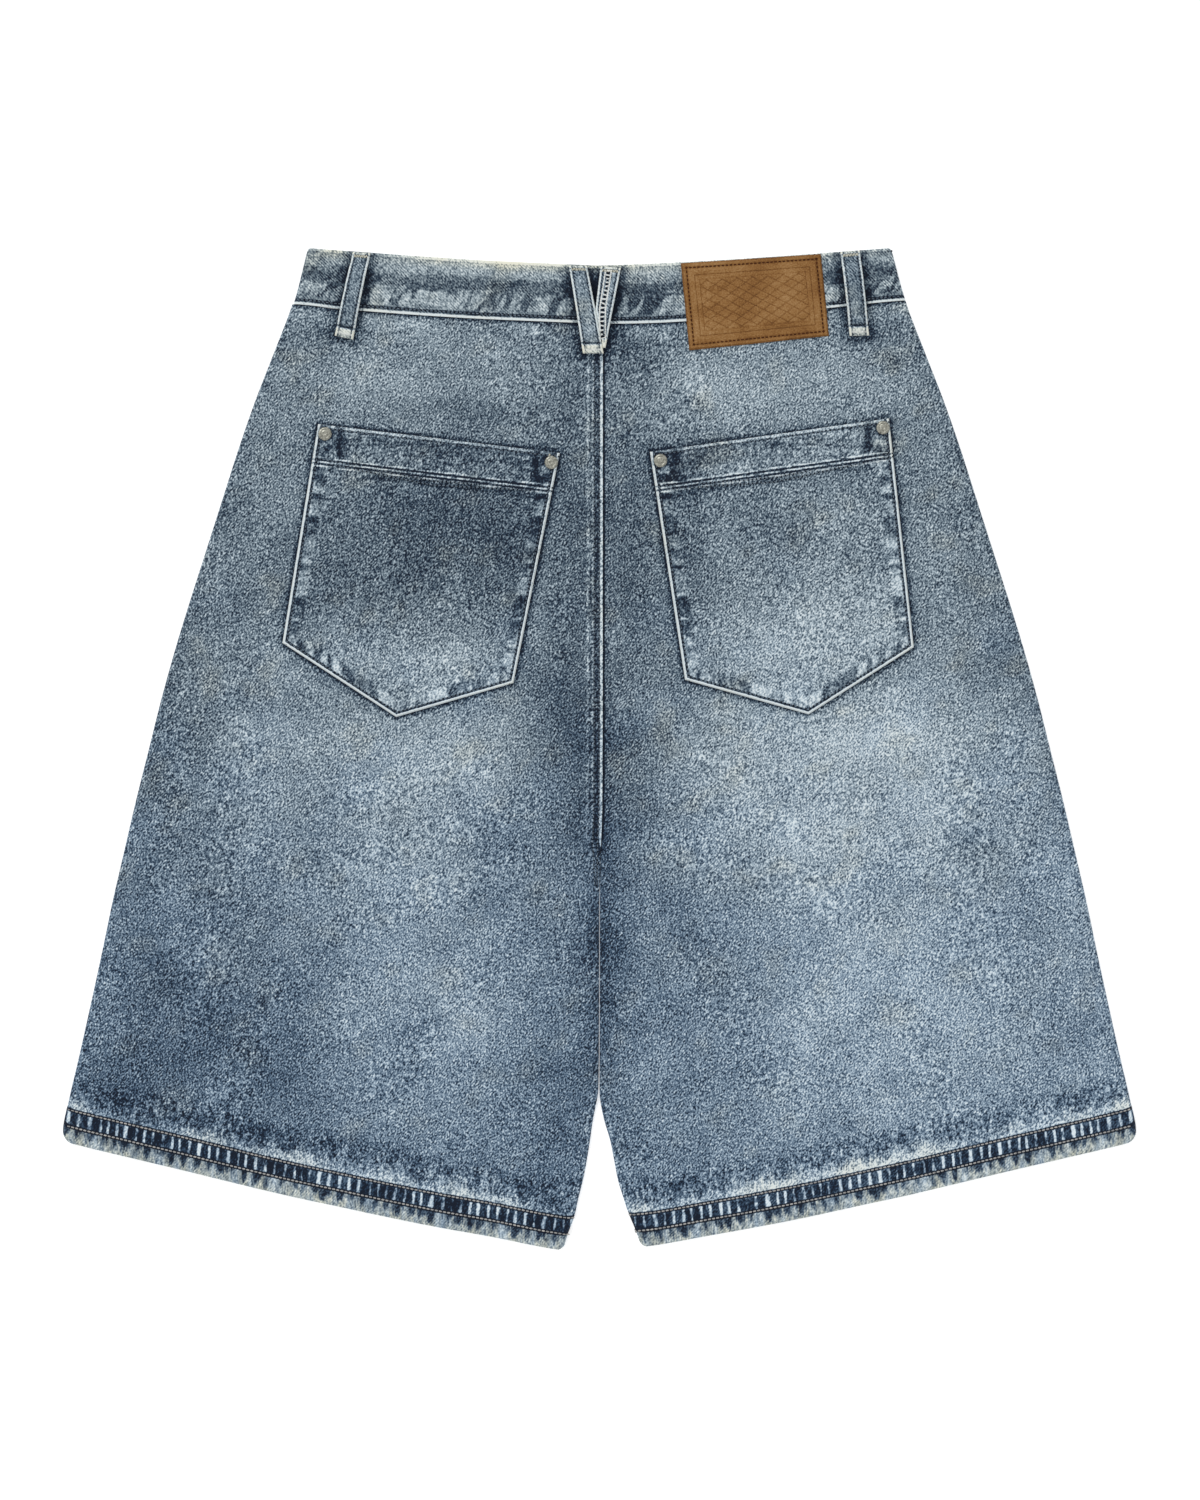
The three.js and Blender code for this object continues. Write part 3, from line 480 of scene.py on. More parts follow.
class Signal:
    """One value in a material's node tree, which arithmetic carries on through Math nodes."""

    def __init__(self, tree, socket):
        self.tree = tree
        self.socket = socket

    def math(self, operation, *others):
        node = self.tree.nodes.new("ShaderNodeMath")
        node.operation = operation
        for k, value in enumerate((self, *others)):
            if isinstance(value, Signal):
                self.tree.links.new(value.socket, node.inputs[k])
            else:
                node.inputs[k].default_value = value
        return Signal(self.tree, node.outputs[0])

    def __add__(self, other):
        return self.math("ADD", other)

    def __radd__(self, other):
        return self.math("ADD", other)

    def __sub__(self, other):
        return self.math("SUBTRACT", other)

    def __rsub__(self, other):
        return self.math("MULTIPLY_ADD", -1.0, other)

    def __mul__(self, other):
        return self.math("MULTIPLY", other)

    def __rmul__(self, other):
        return self.math("MULTIPLY", other)

    def wave(self, pitch):
        """A wave from -1 to 1 that repeats once in each pitch."""
        return (self * (2 * math.pi / pitch)).math("SINE")

    def ramp(self, start, end, low=0.0, high=1.0):
        """Rises smoothly from low to high as the value goes from start to end."""
        node = self.tree.nodes.new("ShaderNodeMapRange")
        node.interpolation_type = "SMOOTHSTEP"
        self.tree.links.new(self.socket, node.inputs["Value"])
        for key, value in {"From Min": start, "From Max": end, "To Min": low, "To Max": high}.items():
            node.inputs[key].default_value = value
        return Signal(self.tree, node.outputs["Result"])

    def window(self, start, end, soft=0.6):
        """1 between two values and 0 outside them."""
        return self.ramp(start - soft, start + soft) * self.ramp(end - soft, end + soft, 1.0, 0.0)


class Finish:
    """A material and the few kinds of node that its pattern is made of."""

    def __init__(self, name):
        self.material = bpy.data.materials.new(name)
        self.material.use_nodes = True
        self.tree = self.material.node_tree
        self.shader = self.tree.nodes["Principled BSDF"]
        coordinates = self.tree.nodes.new("ShaderNodeTexCoord")
        scaled = self.tree.nodes.new("ShaderNodeVectorMath")
        scaled.operation = "SCALE"
        scaled.inputs["Scale"].default_value = 1 / MM
        self.tree.links.new(coordinates.outputs["Object"], scaled.inputs[0])
        self.place = scaled.outputs[0]

    def attribute(self, name):
        node = self.tree.nodes.new("ShaderNodeAttribute")
        node.attribute_name = name
        return Signal(self.tree, node.outputs["Fac"])

    def axis(self, letter):
        node = self.tree.nodes.new("ShaderNodeSeparateXYZ")
        self.tree.links.new(self.place, node.inputs[0])
        return Signal(self.tree, node.outputs[letter])

    def vector(self, x, y, z=None):
        node = self.tree.nodes.new("ShaderNodeCombineXYZ")
        for k, value in enumerate((x, y, z)):
            if value is not None:
                self.tree.links.new(value.socket, node.inputs[k])
        return node.outputs[0]

    def turned(self, turn, across, down):
        """Places turned by degrees, then squeezed, so that spots are across by down millimetres."""
        rotate = self.tree.nodes.new("ShaderNodeMapping")
        rotate.inputs["Rotation"].default_value = (0, 0, math.radians(-turn))
        self.tree.links.new(self.place, rotate.inputs["Vector"])
        scale = self.tree.nodes.new("ShaderNodeVectorMath")
        scale.operation = "MULTIPLY"
        scale.inputs[1].default_value = (1 / across, 1 / down, 1 / max(across, down))
        self.tree.links.new(rotate.outputs[0], scale.inputs[0])
        return scale.outputs[0]

    def noise(self, where, detail=1.0, roughness=0.5, distortion=0.0):
        """Unevenness about 0, mostly from -0.3 to 0.3."""
        node = self.tree.nodes.new("ShaderNodeTexNoise")
        node.inputs["Scale"].default_value = 1.0
        node.inputs["Detail"].default_value = detail
        node.inputs["Roughness"].default_value = roughness
        node.inputs["Distortion"].default_value = distortion
        self.tree.links.new(where, node.inputs["Vector"])
        return Signal(self.tree, node.outputs["Fac"]) - 0.5

    def spots(self, size, detail=1.0, roughness=0.5):
        return self.noise(self.turned(0, size, size), detail, roughness)

    def colours(self, value, stops):
        node = self.tree.nodes.new("ShaderNodeValToRGB")
        bar = node.color_ramp.elements
        while len(bar) < len(stops):
            bar.new(0.5)
        for element, (position, screen) in zip(bar, stops, strict=True):
            element.position = position
            element.color = tone(screen)
        self.tree.links.new(value.socket, node.inputs["Fac"])
        return node.outputs["Color"]

    def blend(self, factor, first, second, kind="MIX"):
        node = self.tree.nodes.new("ShaderNodeMix")
        node.data_type = "RGBA"
        node.blend_type = kind
        node.clamp_factor = True
        self.tree.links.new(factor.socket, node.inputs["Factor"])
        for key, value in (("A", first), ("B", second)):
            socket = next(s for s in node.inputs if s.name == key and s.type == "RGBA")
            if isinstance(value, tuple):
                socket.default_value = value
            else:
                self.tree.links.new(value, socket)
        return next(s for s in node.outputs if s.type == "RGBA")

    def bump(self, height, strength, distance_mm):
        node = self.tree.nodes.new("ShaderNodeBump")
        node.inputs["Strength"].default_value = strength
        node.inputs["Distance"].default_value = distance_mm * MM
        self.tree.links.new(height.socket, node.inputs["Height"])
        self.tree.links.new(node.outputs[0], self.shader.inputs["Normal"])

    def surface(self, roughness, specular=0.5, metallic=0.0, sheen=0.0, sheen_roughness=0.5):
        values = {
            "Roughness": roughness, "Specular IOR Level": specular, "Metallic": metallic,
            "Sheen Weight": sheen, "Sheen Roughness": sheen_roughness,
        }
        for key, value in values.items():
            self.shader.inputs[key].default_value = value


def denim(name, wear_and_shade_pattern, lean=-1, grain_part=1.75, twill_part=0.08):
    """Washed twill. The pattern function adds the wear and the painted shade of one kind of piece, and says
    how plain its grain is.
    """
    finish = Finish(name)
    grain = finish.noise(finish.turned(-62 * lean, 1.6, 1.2), detail=1.0, roughness=0.6)
    mottle = finish.noise(finish.turned(20, 6.5, 5), detail=2.0, roughness=0.6)
    cloud = finish.noise(finish.turned(0, 42, 30), detail=2.0, roughness=0.55)
    slub = finish.noise(finish.turned(90, 20, 1.7), detail=1.0)
    across = finish.axis("X") + lean * finish.axis("Y") + 2.0 * finish.spots(16)
    twill = across.wave(2.35) * finish.spots(9, 1.0).ramp(-0.05, 0.18, 0.25, 1.0)
    # The attribute read here holds the wash spots and, on the panels, pockets and waistband, painted
    # shadows too.
    wear_and_shade = 0.494 + finish.attribute("fade_and_shade") + 0.15 * cloud + 0.3 * mottle + 0.14 * slub
    scratches = finish.noise(finish.turned(68, 24, 1.7), detail=1.0).ramp(0.1, 0.24)
    wear_and_shade = wear_and_shade + 0.14 * scratches * finish.noise(finish.turned(0, 70, 60)).ramp(0.0, 0.14)
    wear_and_shade, cream, grainy = wear_and_shade_pattern(finish, wear_and_shade)
    wear_and_shade = wear_and_shade + grain_part * grainy * grain + twill_part * twill
    low_down = (finish.axis("Y") + 480.0 * finish.noise(finish.turned(20, 62, 48), detail=2.0)).ramp(
        -230, 150, 0.9, 0.0)
    cloth = finish.blend(low_down, finish.colours(wear_and_shade, STEEL_TONES), finish.colours(wear_and_shade, BLUE_TONES))
    dust = finish.noise(finish.turned(30, 34, 26), detail=2.0).ramp(0.04, 0.24, 0.0, 0.3)
    dust = dust * (1.0 - 0.5 * low_down)
    cloth = finish.blend(cream + dust, cloth, finish.colours(wear_and_shade, CREAM_TONES))
    bare = finish.colours(wear_and_shade * 0.5 + 0.5, ((0.55, (150, 162, 172)), (0.95, (225, 228, 226))))
    cloth = finish.blend(finish.attribute("reverse"), cloth, bare)
    finish.tree.links.new(cloth, finish.shader.inputs["Base Color"])
    finish.surface(roughness=0.92, specular=0.18, sheen=0.1, sheen_roughness=0.6)
    finish.bump(grain + 0.35 * twill + 0.5 * mottle, 0.45, 0.3)
    return finish.material


def panel_wear_and_shade(finish, wear_and_shade):
    """The hem's puckers and roping, the rubbed cloth above it, and the wear along the centre seam, with
    painted shade in the hem's stitch grooves and a painted shadow beside the lapped seam.
    """
    up, run, seam = finish.attribute("hem_mm"), finish.attribute("run_mm"), finish.attribute("seam_mm")
    rub = finish.attribute("rub")
    drift = run + 9.0 * finish.noise(finish.vector(run * 0.05, up * 0.01))
    sway = finish.noise(finish.vector(run * 0.09, up * 0.02), detail=1.0)
    fine = finish.noise(finish.vector(run * 0.4, up * 0.16), detail=2.0, roughness=0.6)
    streaks = finish.noise(finish.vector(run * 0.55, up * 0.07), detail=2.0, roughness=0.6)
    flecks = finish.noise(finish.vector(run * 0.28, up * 0.11), detail=2.0)

    pucker = (drift + 0.12 * up).wave(6.9) + 1.6 * sway + 2.0 * fine
    between = up.window(13.4, 22.6, 0.8)
    wear_and_shade = wear_and_shade + between * (pucker.ramp(0.25, 1.1) * 0.66 - 0.33 + 0.6 * sway + 0.3 * streaks)
    knot = 0.45 * (drift + 0.3 * up).wave(8.8) + 4.2 * sway + 4.5 * streaks + up.ramp(1.0, 10.0, -0.75, 0.3)
    dark = knot.ramp(-0.45, 0.85) * up.ramp(1.0, 3.0)
    below = up.ramp(10.9, 11.7, 1.0, 0.0)
    wear_and_shade = wear_and_shade + below * (0.16 - dark * 0.5 + 0.8 * streaks)
    # Painted shade in the grooves along the two hem stitch rows.
    wear_and_shade = wear_and_shade - 0.5 * up.window(10.5, 13.5, 0.3) - 0.46 * up.window(22.6, 25.4, 0.3)
    rubbed = rub * up.ramp(24.8, 26.2) * (up + 26.0 * streaks + 10.0 * sway).ramp(25, 38, 1.0, 0.0)
    wear_and_shade = wear_and_shade + 0.42 * rubbed
    wear_and_shade = wear_and_shade - 0.2 * up.window(30, 50, 6) * (flecks + 0.5 * sway).ramp(-0.12, 0.14)
    wear_and_shade = wear_and_shade + 0.16 * rub * up.window(
        28, 40, 6) * flecks
    cream = below * dark.ramp(0.0, 0.9, 0.8, 0.15) * (sway + 0.5 * fine).ramp(-0.3, 0.2)
    cream = cream + 0.4 * rubbed * rub.ramp(0.3, 0.9)

    left, right = seam.ramp(-0.2, 0.2), seam.ramp(-0.2, 0.2, 1.0, 0.0)
    rope = finish.noise(finish.vector(finish.axis("Y") * 0.55, seam * 0.4), detail=1.0)
    tug = finish.noise(finish.vector(finish.axis("Y") * 0.16, seam * 0.12), detail=1.0)
    wear_and_shade = wear_and_shade + left * seam.ramp(1.5, 2.2, 1.0, 0.0) * (0.42 + 0.6 * rope)
    wear_and_shade = wear_and_shade + left * seam.window(2.4, 6.2, 0.5) * (0.9 * rope - 0.2)
    wear_and_shade = wear_and_shade + left * seam.window(6.6, 7.8, 0.4) * (0.12 + 0.9 * rope)
    wear_and_shade = wear_and_shade + left * seam.window(8.0, 9.6, 0.4) * (0.5 * tug - 0.06)
    wear_and_shade = wear_and_shade + left * seam.window(9.8, 11.6, 0.6) * (0.12 + 0.8 * tug + 0.5 * rope)
    # Painted shadow of the lapped seam on the right panel, strong at the seam and faint out to 10 mm.
    wear_and_shade = wear_and_shade - right * 0.42 * seam.ramp(-2.2, -0.8) - right * 0.05 * seam.ramp(-10, -2)
    return wear_and_shade, cream, up.ramp(20, 27, 0.5, 1.0)


def pocket_wear_and_shade(finish, wear_and_shade):
    """Pale ridges round the pocket, the pull of its stitches, painted shade in their grooves, and the wear
    where its edge is turned in.
    """
    edge, run, top = finish.attribute("edge_mm"), finish.attribute("run_mm"), finish.attribute("top_mm")
    rope = finish.noise(finish.vector(run * 0.6, edge * 0.5), detail=1.0)
    blocks = finish.noise(finish.vector(run * 0.12, edge * 0.03), detail=2.0, roughness=0.6)
    tug = finish.noise(finish.vector(run * 0.3, edge * 0.12), detail=1.0)
    folded = edge.window(3.4, 11.5, 1.2)
    # The pale worn ridge of the edge, and painted shade in the groove of its stitch row.
    wear_and_shade = wear_and_shade + edge.ramp(1.4, 1.9, 1.0, 0.0) * (0.68 + 0.5 * rope) - 0.36 * edge.window(2.0, 3.6, 0.35)
    wear_and_shade = wear_and_shade + folded * ((blocks + 0.2 * tug).ramp(-0.12, 0.12) * 0.44 - 0.22)
    lace = finish.noise(finish.vector(run * 0.75, top * 0.5), detail=1.0)
    bars = finish.noise(finish.vector(run * 0.2, top * 0.06), detail=2.0)
    # The pale worn ridge of the top, and painted shade in the groove of its stitch row.
    wear_and_shade = wear_and_shade + top.ramp(1.5, 2.1, 1.0, 0.0) * (0.28 + 0.5 * lace) - 0.16 * top.window(2.2, 3.5, 0.35)
    wear_and_shade = wear_and_shade + top.window(4, 23, 1.5) * 0.5 * bars
    wear_and_shade = wear_and_shade + (top.window(23.3, 24.6, 0.25) + top.window(29.3, 30.6, 0.25)) * (0.22 + 1.7 * lace)
    # Painted shade in the grooves of the band's two stitch rows.
    wear_and_shade = wear_and_shade - 0.4 * (top.window(24.8, 26.2, 0.25) + top.window(27.6, 29.0, 0.25))
    wear_and_shade = wear_and_shade + top.window(26.4, 27.4, 0.2) * (0.24 + 1.4 * lace)
    # Patchy painted shadow below the step of the pocket's top band.
    wear_and_shade = wear_and_shade - 0.15 * top.window(31, 35, 1.0) * bars.ramp(-0.15, 0.05)
    return wear_and_shade, edge.ramp(1.0, 1.6, 0.15, 0.0), edge.ramp(8, 14, 0.8, 1.0)


def band_wear_and_shade(finish, wear_and_shade):
    """A pale lower ridge with painted shade in the stitch groove above it, blocks of wear higher up, and a
    frayed pale top.
    """
    edge, run, top = finish.attribute("edge_mm"), finish.attribute("run_mm"), finish.attribute("top_mm")
    rub = finish.attribute("rub")
    rope = finish.noise(finish.vector(run * 0.55, edge * 0.4), detail=1.0)
    blocks = finish.noise(finish.vector(run * 0.115, edge * 0.035), detail=2.0, roughness=0.6)
    creases = finish.noise(finish.vector(run * 0.05, edge * 0.2), detail=2.0, roughness=0.6)
    # The pale worn ridge, and painted shade in the groove of the stitch row above it.
    wear_and_shade = wear_and_shade + edge.ramp(1.3, 1.8, 1.0, 0.0) * (0.6 + 0.4 * rope) - 0.34 * edge.window(2.2, 4.4, 0.5)
    wear_and_shade = wear_and_shade + (edge + 14.0 * creases).window(6.0, 18, 2) * (blocks.ramp(-0.08, 0.03) * 0.33 - 0.17)
    wear_and_shade = wear_and_shade - 0.14 * (edge + 22.0 * creases).window(19, 27, 3)
    wear_and_shade = wear_and_shade + 0.1 * top.ramp(6, 18, 1.0, 0.0) + 0.02
    frayed = top.ramp(0.8, 6.0, 1.0, 0.0) * rub
    wear_and_shade = wear_and_shade + 0.2 * frayed + (rub * 0.2) * top.ramp(1.6, 3.2, 1.0, 0.0) * (1.0 + 3.0 * rope)
    wear_and_shade = wear_and_shade - 0.12 * top.window(1.9, 3.2, 0.4)
    return wear_and_shade - 0.03, top.ramp(1.0, 9.0, 0.7, 0.0) * rub + 0.14, edge.ramp(0, 40, 0.9, 1.0)


def loop_wear_and_shade(finish, wear_and_shade):
    """Pale folded edges and ends, painted shade in the grooves of the edge stitch rows, and darker between
    the rows of stitches.
    """
    edge, run, end = finish.attribute("edge_mm"), finish.attribute("run_mm"), finish.attribute("end_mm")
    rope = finish.noise(finish.vector(run * 0.6, edge * 0.5), detail=1.0)
    tug = finish.noise(finish.vector(run * 0.22, edge * 0.2), detail=2.0)
    # The pale worn folded edge, and painted shade in the groove of its stitch row.
    wear_and_shade = wear_and_shade + edge.ramp(1.1, 1.5, 1.0, 0.0) * (0.45 + 0.4 * rope) - 0.3 * edge.window(1.6, 2.7, 0.3)
    wear_and_shade = wear_and_shade + edge.ramp(2.8, 3.6) * (0.5 * tug) - 0.03
    wear_and_shade = wear_and_shade + end.ramp(5.8, 6.5, 1.0, 0.0) * (0.26 + 0.7 * tug) - 0.4 * end.window(6.6, 8.0, 0.35)
    return wear_and_shade, end.ramp(5.0, 6.5, 0.6, 0.0) + edge.ramp(0.8, 1.4, 0.2, 0.0), edge.ramp(0, 9, 0.9, 1.0)


def leather():
    finish = Finish("patch_leather")
    pores = finish.noise(finish.turned(0, 1.1, 0.9), detail=3.0, roughness=0.6)
    cloud = finish.noise(finish.turned(10, 26, 18), detail=2.0)
    rub = finish.noise(finish.turned(0, 5, 4), detail=3.0, roughness=0.65)
    edge, pressed = finish.attribute("edge_mm"), finish.attribute("pressed")
    value = 0.5 + 0.7 * cloud + 0.25 * rub + 0.9 * pores
    value = value - edge.ramp(0.3, 2.0, 0.2, 0.0) - 0.12 * edge.window(2.4, 4.8, 0.6) - 0.2 * pressed
    stops = (
        (0.1, (86, 52, 20)), (0.35, (121, 80, 36)), (0.5, (142, 101, 54)), (0.7, (162, 124, 80)),
        (0.9, (188, 154, 112)),
    )
    finish.tree.links.new(finish.colours(value, stops), finish.shader.inputs["Base Color"])
    finish.surface(roughness=0.6, specular=0.2)
    finish.bump(pores + 0.4 * rub, 0.35, 0.3)
    return finish.material


def metal(name, dark, pale, roughness):
    finish = Finish(name)
    worn = finish.noise(finish.turned(0, 1.4, 1.4), detail=3.0, roughness=0.65)
    stops = ((0.3, dark), (0.7, pale))
    finish.tree.links.new(finish.colours(worn + 0.5, stops), finish.shader.inputs["Base Color"])
    finish.surface(roughness=roughness, specular=0.5, metallic=0.85)
    finish.bump(worn, 0.3, 0.15)
    return finish.material


def thread(name, dark, pale):
    """Spun thread: its twist shows as fine slanting bands."""
    finish = Finish(name)
    twist = (finish.axis("X") + finish.axis("Y") * 0.8).wave(0.9) * 0.14
    worn = finish.noise(finish.turned(0, 4, 4), detail=2.0)
    cloth = finish.colours(0.5 + twist + worn, ((0.2, dark), (0.8, pale)))
    finish.tree.links.new(cloth, finish.shader.inputs["Base Color"])
    finish.surface(roughness=0.8, specular=0.08)
    return finish.material


def make_finishes():
    """Every finish by its plain name."""
    return {
        "panel": denim("washed_denim_panels", panel_wear_and_shade),
        "pocket": denim("washed_denim_pockets", pocket_wear_and_shade),
        "band": denim("washed_denim_waistband", band_wear_and_shade, 1, 1.3, 0.15),
        "loop": denim("washed_denim_belt_loops", loop_wear_and_shade, 1, 1.3, 0.15),
        "leather": leather(),
        "rivet": metal("aged_rivet_metal", (92, 92, 84), (196, 196, 184), 0.4),
        "button": metal("waist_button_metal", (104, 102, 94), (200, 198, 188), 0.34),
        "dark_thread": thread("dark_thread", (66, 80, 96), (128, 142, 154)),
        "pale_thread": thread("pale_thread", (120, 122, 124), (190, 188, 184)),
        "yellow_thread": thread("bartack_thread", (206, 206, 188), (248, 247, 232)),
        "cream_thread": thread("cream_thread", (206, 210, 206), (246, 248, 246)),
        "brown_thread": thread("patch_thread", (44, 18, 6), (86, 46, 24)),
        # Near-black beads: painted shade in needle holes and in the gaps of the ladder stitch.
        "hole_shade": thread("needle_holes", (10, 14, 22), (28, 34, 46)),
    }


FINISHES = {}


def panel_columns(wide, inside_step):
    """Distances across a panel: fine at the seam or inner roll and at the side's roll."""
    inner = steps((12, 0.75), (16, 1.3))
    outer = EDGE_ROLL * (1 - np.cos(np.linspace(0, math.pi / 2, 9)))
    count = round((300 - 16 - EDGE_ROLL) / inside_step)
    middle = np.linspace(0, 1, count + 1)[1:-1]
    wide = np.asarray(wide)[..., None]
    between = mix(16.0, wide - EDGE_ROLL, middle)
    first = np.broadcast_to(inner, (*wide.shape[:-1], len(inner)))
    return np.concatenate([first, between, wide - outer[::-1]], -1)


def roll_drop(s):
    return 1 - np.sqrt(np.maximum(0, 1 - (1 - np.clip(s / EDGE_ROLL, 0, 1)) ** 2))


def build_panel(side, leg, inside_step, row_step):
    """One leg's panel of the back or the front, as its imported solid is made, with finer cloth."""
    is_back = side == "back"

    def top(x):
        return (band_low(x) if is_back else front_low(x) - front_drop(x)) - GAP * 0.5

    top_inner = float(inner_edge(side, leg, top(0.0)))
    top_outer = leg * float(half_width(top(221.0)))
    low_inner, low_outer = float(inner_edge(side, leg, -362)), leg * float(half_width(-284))
    y_top = (float(top(top_inner)), float(top(top_outer)))
    y_low = (float(hem_edge(low_inner)), float(hem_edge(low_outer)))
    long_inner, long_outer = y_top[0] - y_low[0], y_top[1] - y_low[1]

    # Distances above the hem's fold are the same on every column; the rows above share the rest
    near_hem = steps((0.4, 0.2), (2, 0.4), (28, 1.3), (48, 2.0), (62, 2.6))[::-1]
    down = np.linspace(0, 1, round(600 / row_step) + 1)[:-1]
    y_guess = np.concatenate([down * 0.9, 1 - near_hem / 640])
    guess_inner, guess_outer = mix(y_top[0], y_low[0], y_guess), mix(y_top[1], y_low[1], y_guess)
    outer_wide = leg * (leg * half_width(guess_outer) - inner_edge(side, leg, guess_inner))
    count = panel_columns(outer_wide, inside_step).shape[-1]
    share = np.linspace(0, 1, count)[None, :]
    long = mix(long_inner, long_outer, share)
    v_hem = 1 - near_hem[:, None] / long
    v_top = down[:, None] * (1 - 62 / long)
    v = np.concatenate([v_top, v_hem])
    from_hem = np.concatenate([np.full_like(v_top, 99.0), np.broadcast_to(near_hem[:, None], v_hem.shape)])

    y_inner, y_outer = mix(y_top[0], y_low[0], v), mix(y_top[1], y_low[1], v)
    x_inner, x_outer = inner_edge(side, leg, y_inner), leg * half_width(y_outer)
    wide = np.abs(x_outer - x_inner)
    s = np.take_along_axis(
        panel_columns(wide, inside_step),
        np.arange(count)[None, :, None] + np.zeros((*wide.shape, 1), int), -1
    )[..., 0]
    u = s / wide
    x = x_inner + leg * s
    top_bow = top(mix(top_inner, top_outer, u)) - mix(y_top[0], y_top[1], u)
    low_bow = hem_edge(mix(low_inner, low_outer, u)) - mix(y_low[0], y_low[1], u)
    y = mix(y_inner, y_outer, u) + mix(top_bow, low_bow, v)
    corner = np.minimum(s, wide - s)
    up = y - hem_edge(x)
    rounding = 6 - np.sqrt(np.maximum(0, 36 - (6 - np.minimum(corner, 6)) ** 2))
    rounding = rounding * (1 - np.clip(up / 30, 0, 1))
    y = y + np.where(up < 30, rounding, 0)

    rolled = smooth(-60, -112, y)
    wall = hem_wall(np.maximum(0, up))
    near_side = np.clip(1 - (wide - s) / EDGE_ROLL, 0, 1)
    near_inner = np.clip(1 - s / EDGE_ROLL, 0, 1) * rolled
    drop = np.maximum(roll_drop(wide - s), roll_drop(s) * rolled)
    lift = button_lift(x, y)
    felt = felt_seam(s, y) if leg < 0 else 0 * x
    open_cloth = 1 - drop
    if is_back:
        on_seam = (1 - smooth(8, 14, s)) * smooth(*SEAM_END, y) if leg < 0 else 0 * x
        on_row = np.maximum(bell(up - 12, 1.8), bell(up - 24, 1.8))
        calm = (1 - on_seam) * (1 - on_row)
        ripple = (0.22 * patchy(x, y, 26, 11) + 0.12 * patchy(x, y, 9, 12)) * calm
        tug = 0.2 * np.sin(2 * math.pi * (x + 3 * patchy(x, y, 9, 13)) / 6.4)
        tug = tug * (1 - smooth(24, 28, up)) * calm
        rows = 0.35 * (bell(up - 12, 1.0) + bell(up - 24, 1.0))
        rope = 0.3 * np.sin(2 * math.pi * (x + 0.75 * up + 4 * patchy(x, y, 9, 14)) / 8.6)
        rope = rope * (1 - smooth(8, 11, up))
        face = back_face(x, y) + (ripple + tug + rope * smooth(0, 2, up) - rows) * open_cloth
    else:
        face = lift + (lap_rise(x, y) if leg > 0 else 0)
    middle_high = body_high(up) / 2 + lift
    seam = middle_high + (GAP / 2 if is_back else -GAP / 2) * 0.4
    inward = (near_inner - near_side) * wall * leg
    cut = face - wall if is_back else face + wall + felt
    out = np.stack([x, y, mix(face + felt if is_back else face, seam, drop)], -1)
    into = np.stack([x + inward, y, mix(cut, seam, drop)], -1)
    fold = np.sqrt(1 - (1 - np.clip(from_hem / (HEM_WALL / 2), 0, 1)) ** 2)[..., None]
    middle = (out + into) / 2
    out, into = mix(middle, out, fold), mix(middle, into, fold)

    spots = BACK_FADES if is_back else FRONT_FADES
    shade = fade_and_shade(x, y, spots)
    if is_back:
        # Painted shadow just outside each pocket's edge: a narrow dark line and a faint wider spread.
        for corners in POCKETS.values():
            away = polygon_distance(x, y, list(corners.values()))
            shade -= 0.48 * bell(away, 1.7) + 0.04 * bell(away, 8)
        # Painted shadow beside the belt loops.
        shade -= 0.28 * bell(loops_distance(x, y), 4.8)
        waist = band_low(x) - y
        # A painted shadow line just under the waistband's ridge, and a patchy paler worn zone a few
        # millimetres below it.
        shade -= (
            0.4 * bell(waist - 0.4, 1.4)
            - 0.1 * bell(waist - 7, 5) * (0.7 + 1.4 * patchy(x, y, 12, 16))
        )
    shade -= 0.05 * bell(wide - s, 6)
    rub = sum(strength * bell(x - place, reach) for place, reach, strength in HEM_RUBS)
    bend_in = 13 * smooth(-62, -100, y)
    looks = {
        "fade_and_shade": shade,
        "rub": np.clip(rub, 0, 1.1),
        "hem_mm": np.minimum(up, 60),
        "run_mm": np.abs(x) * 1.03,
        "seam_mm": s + bend_in if leg < 0 else -s - 0.25 - bend_in,
    }
    return cloth_mesh(f"denim_{side}_{'left' if leg < 0 else 'right'}", out, into, looks, weld_low=True)


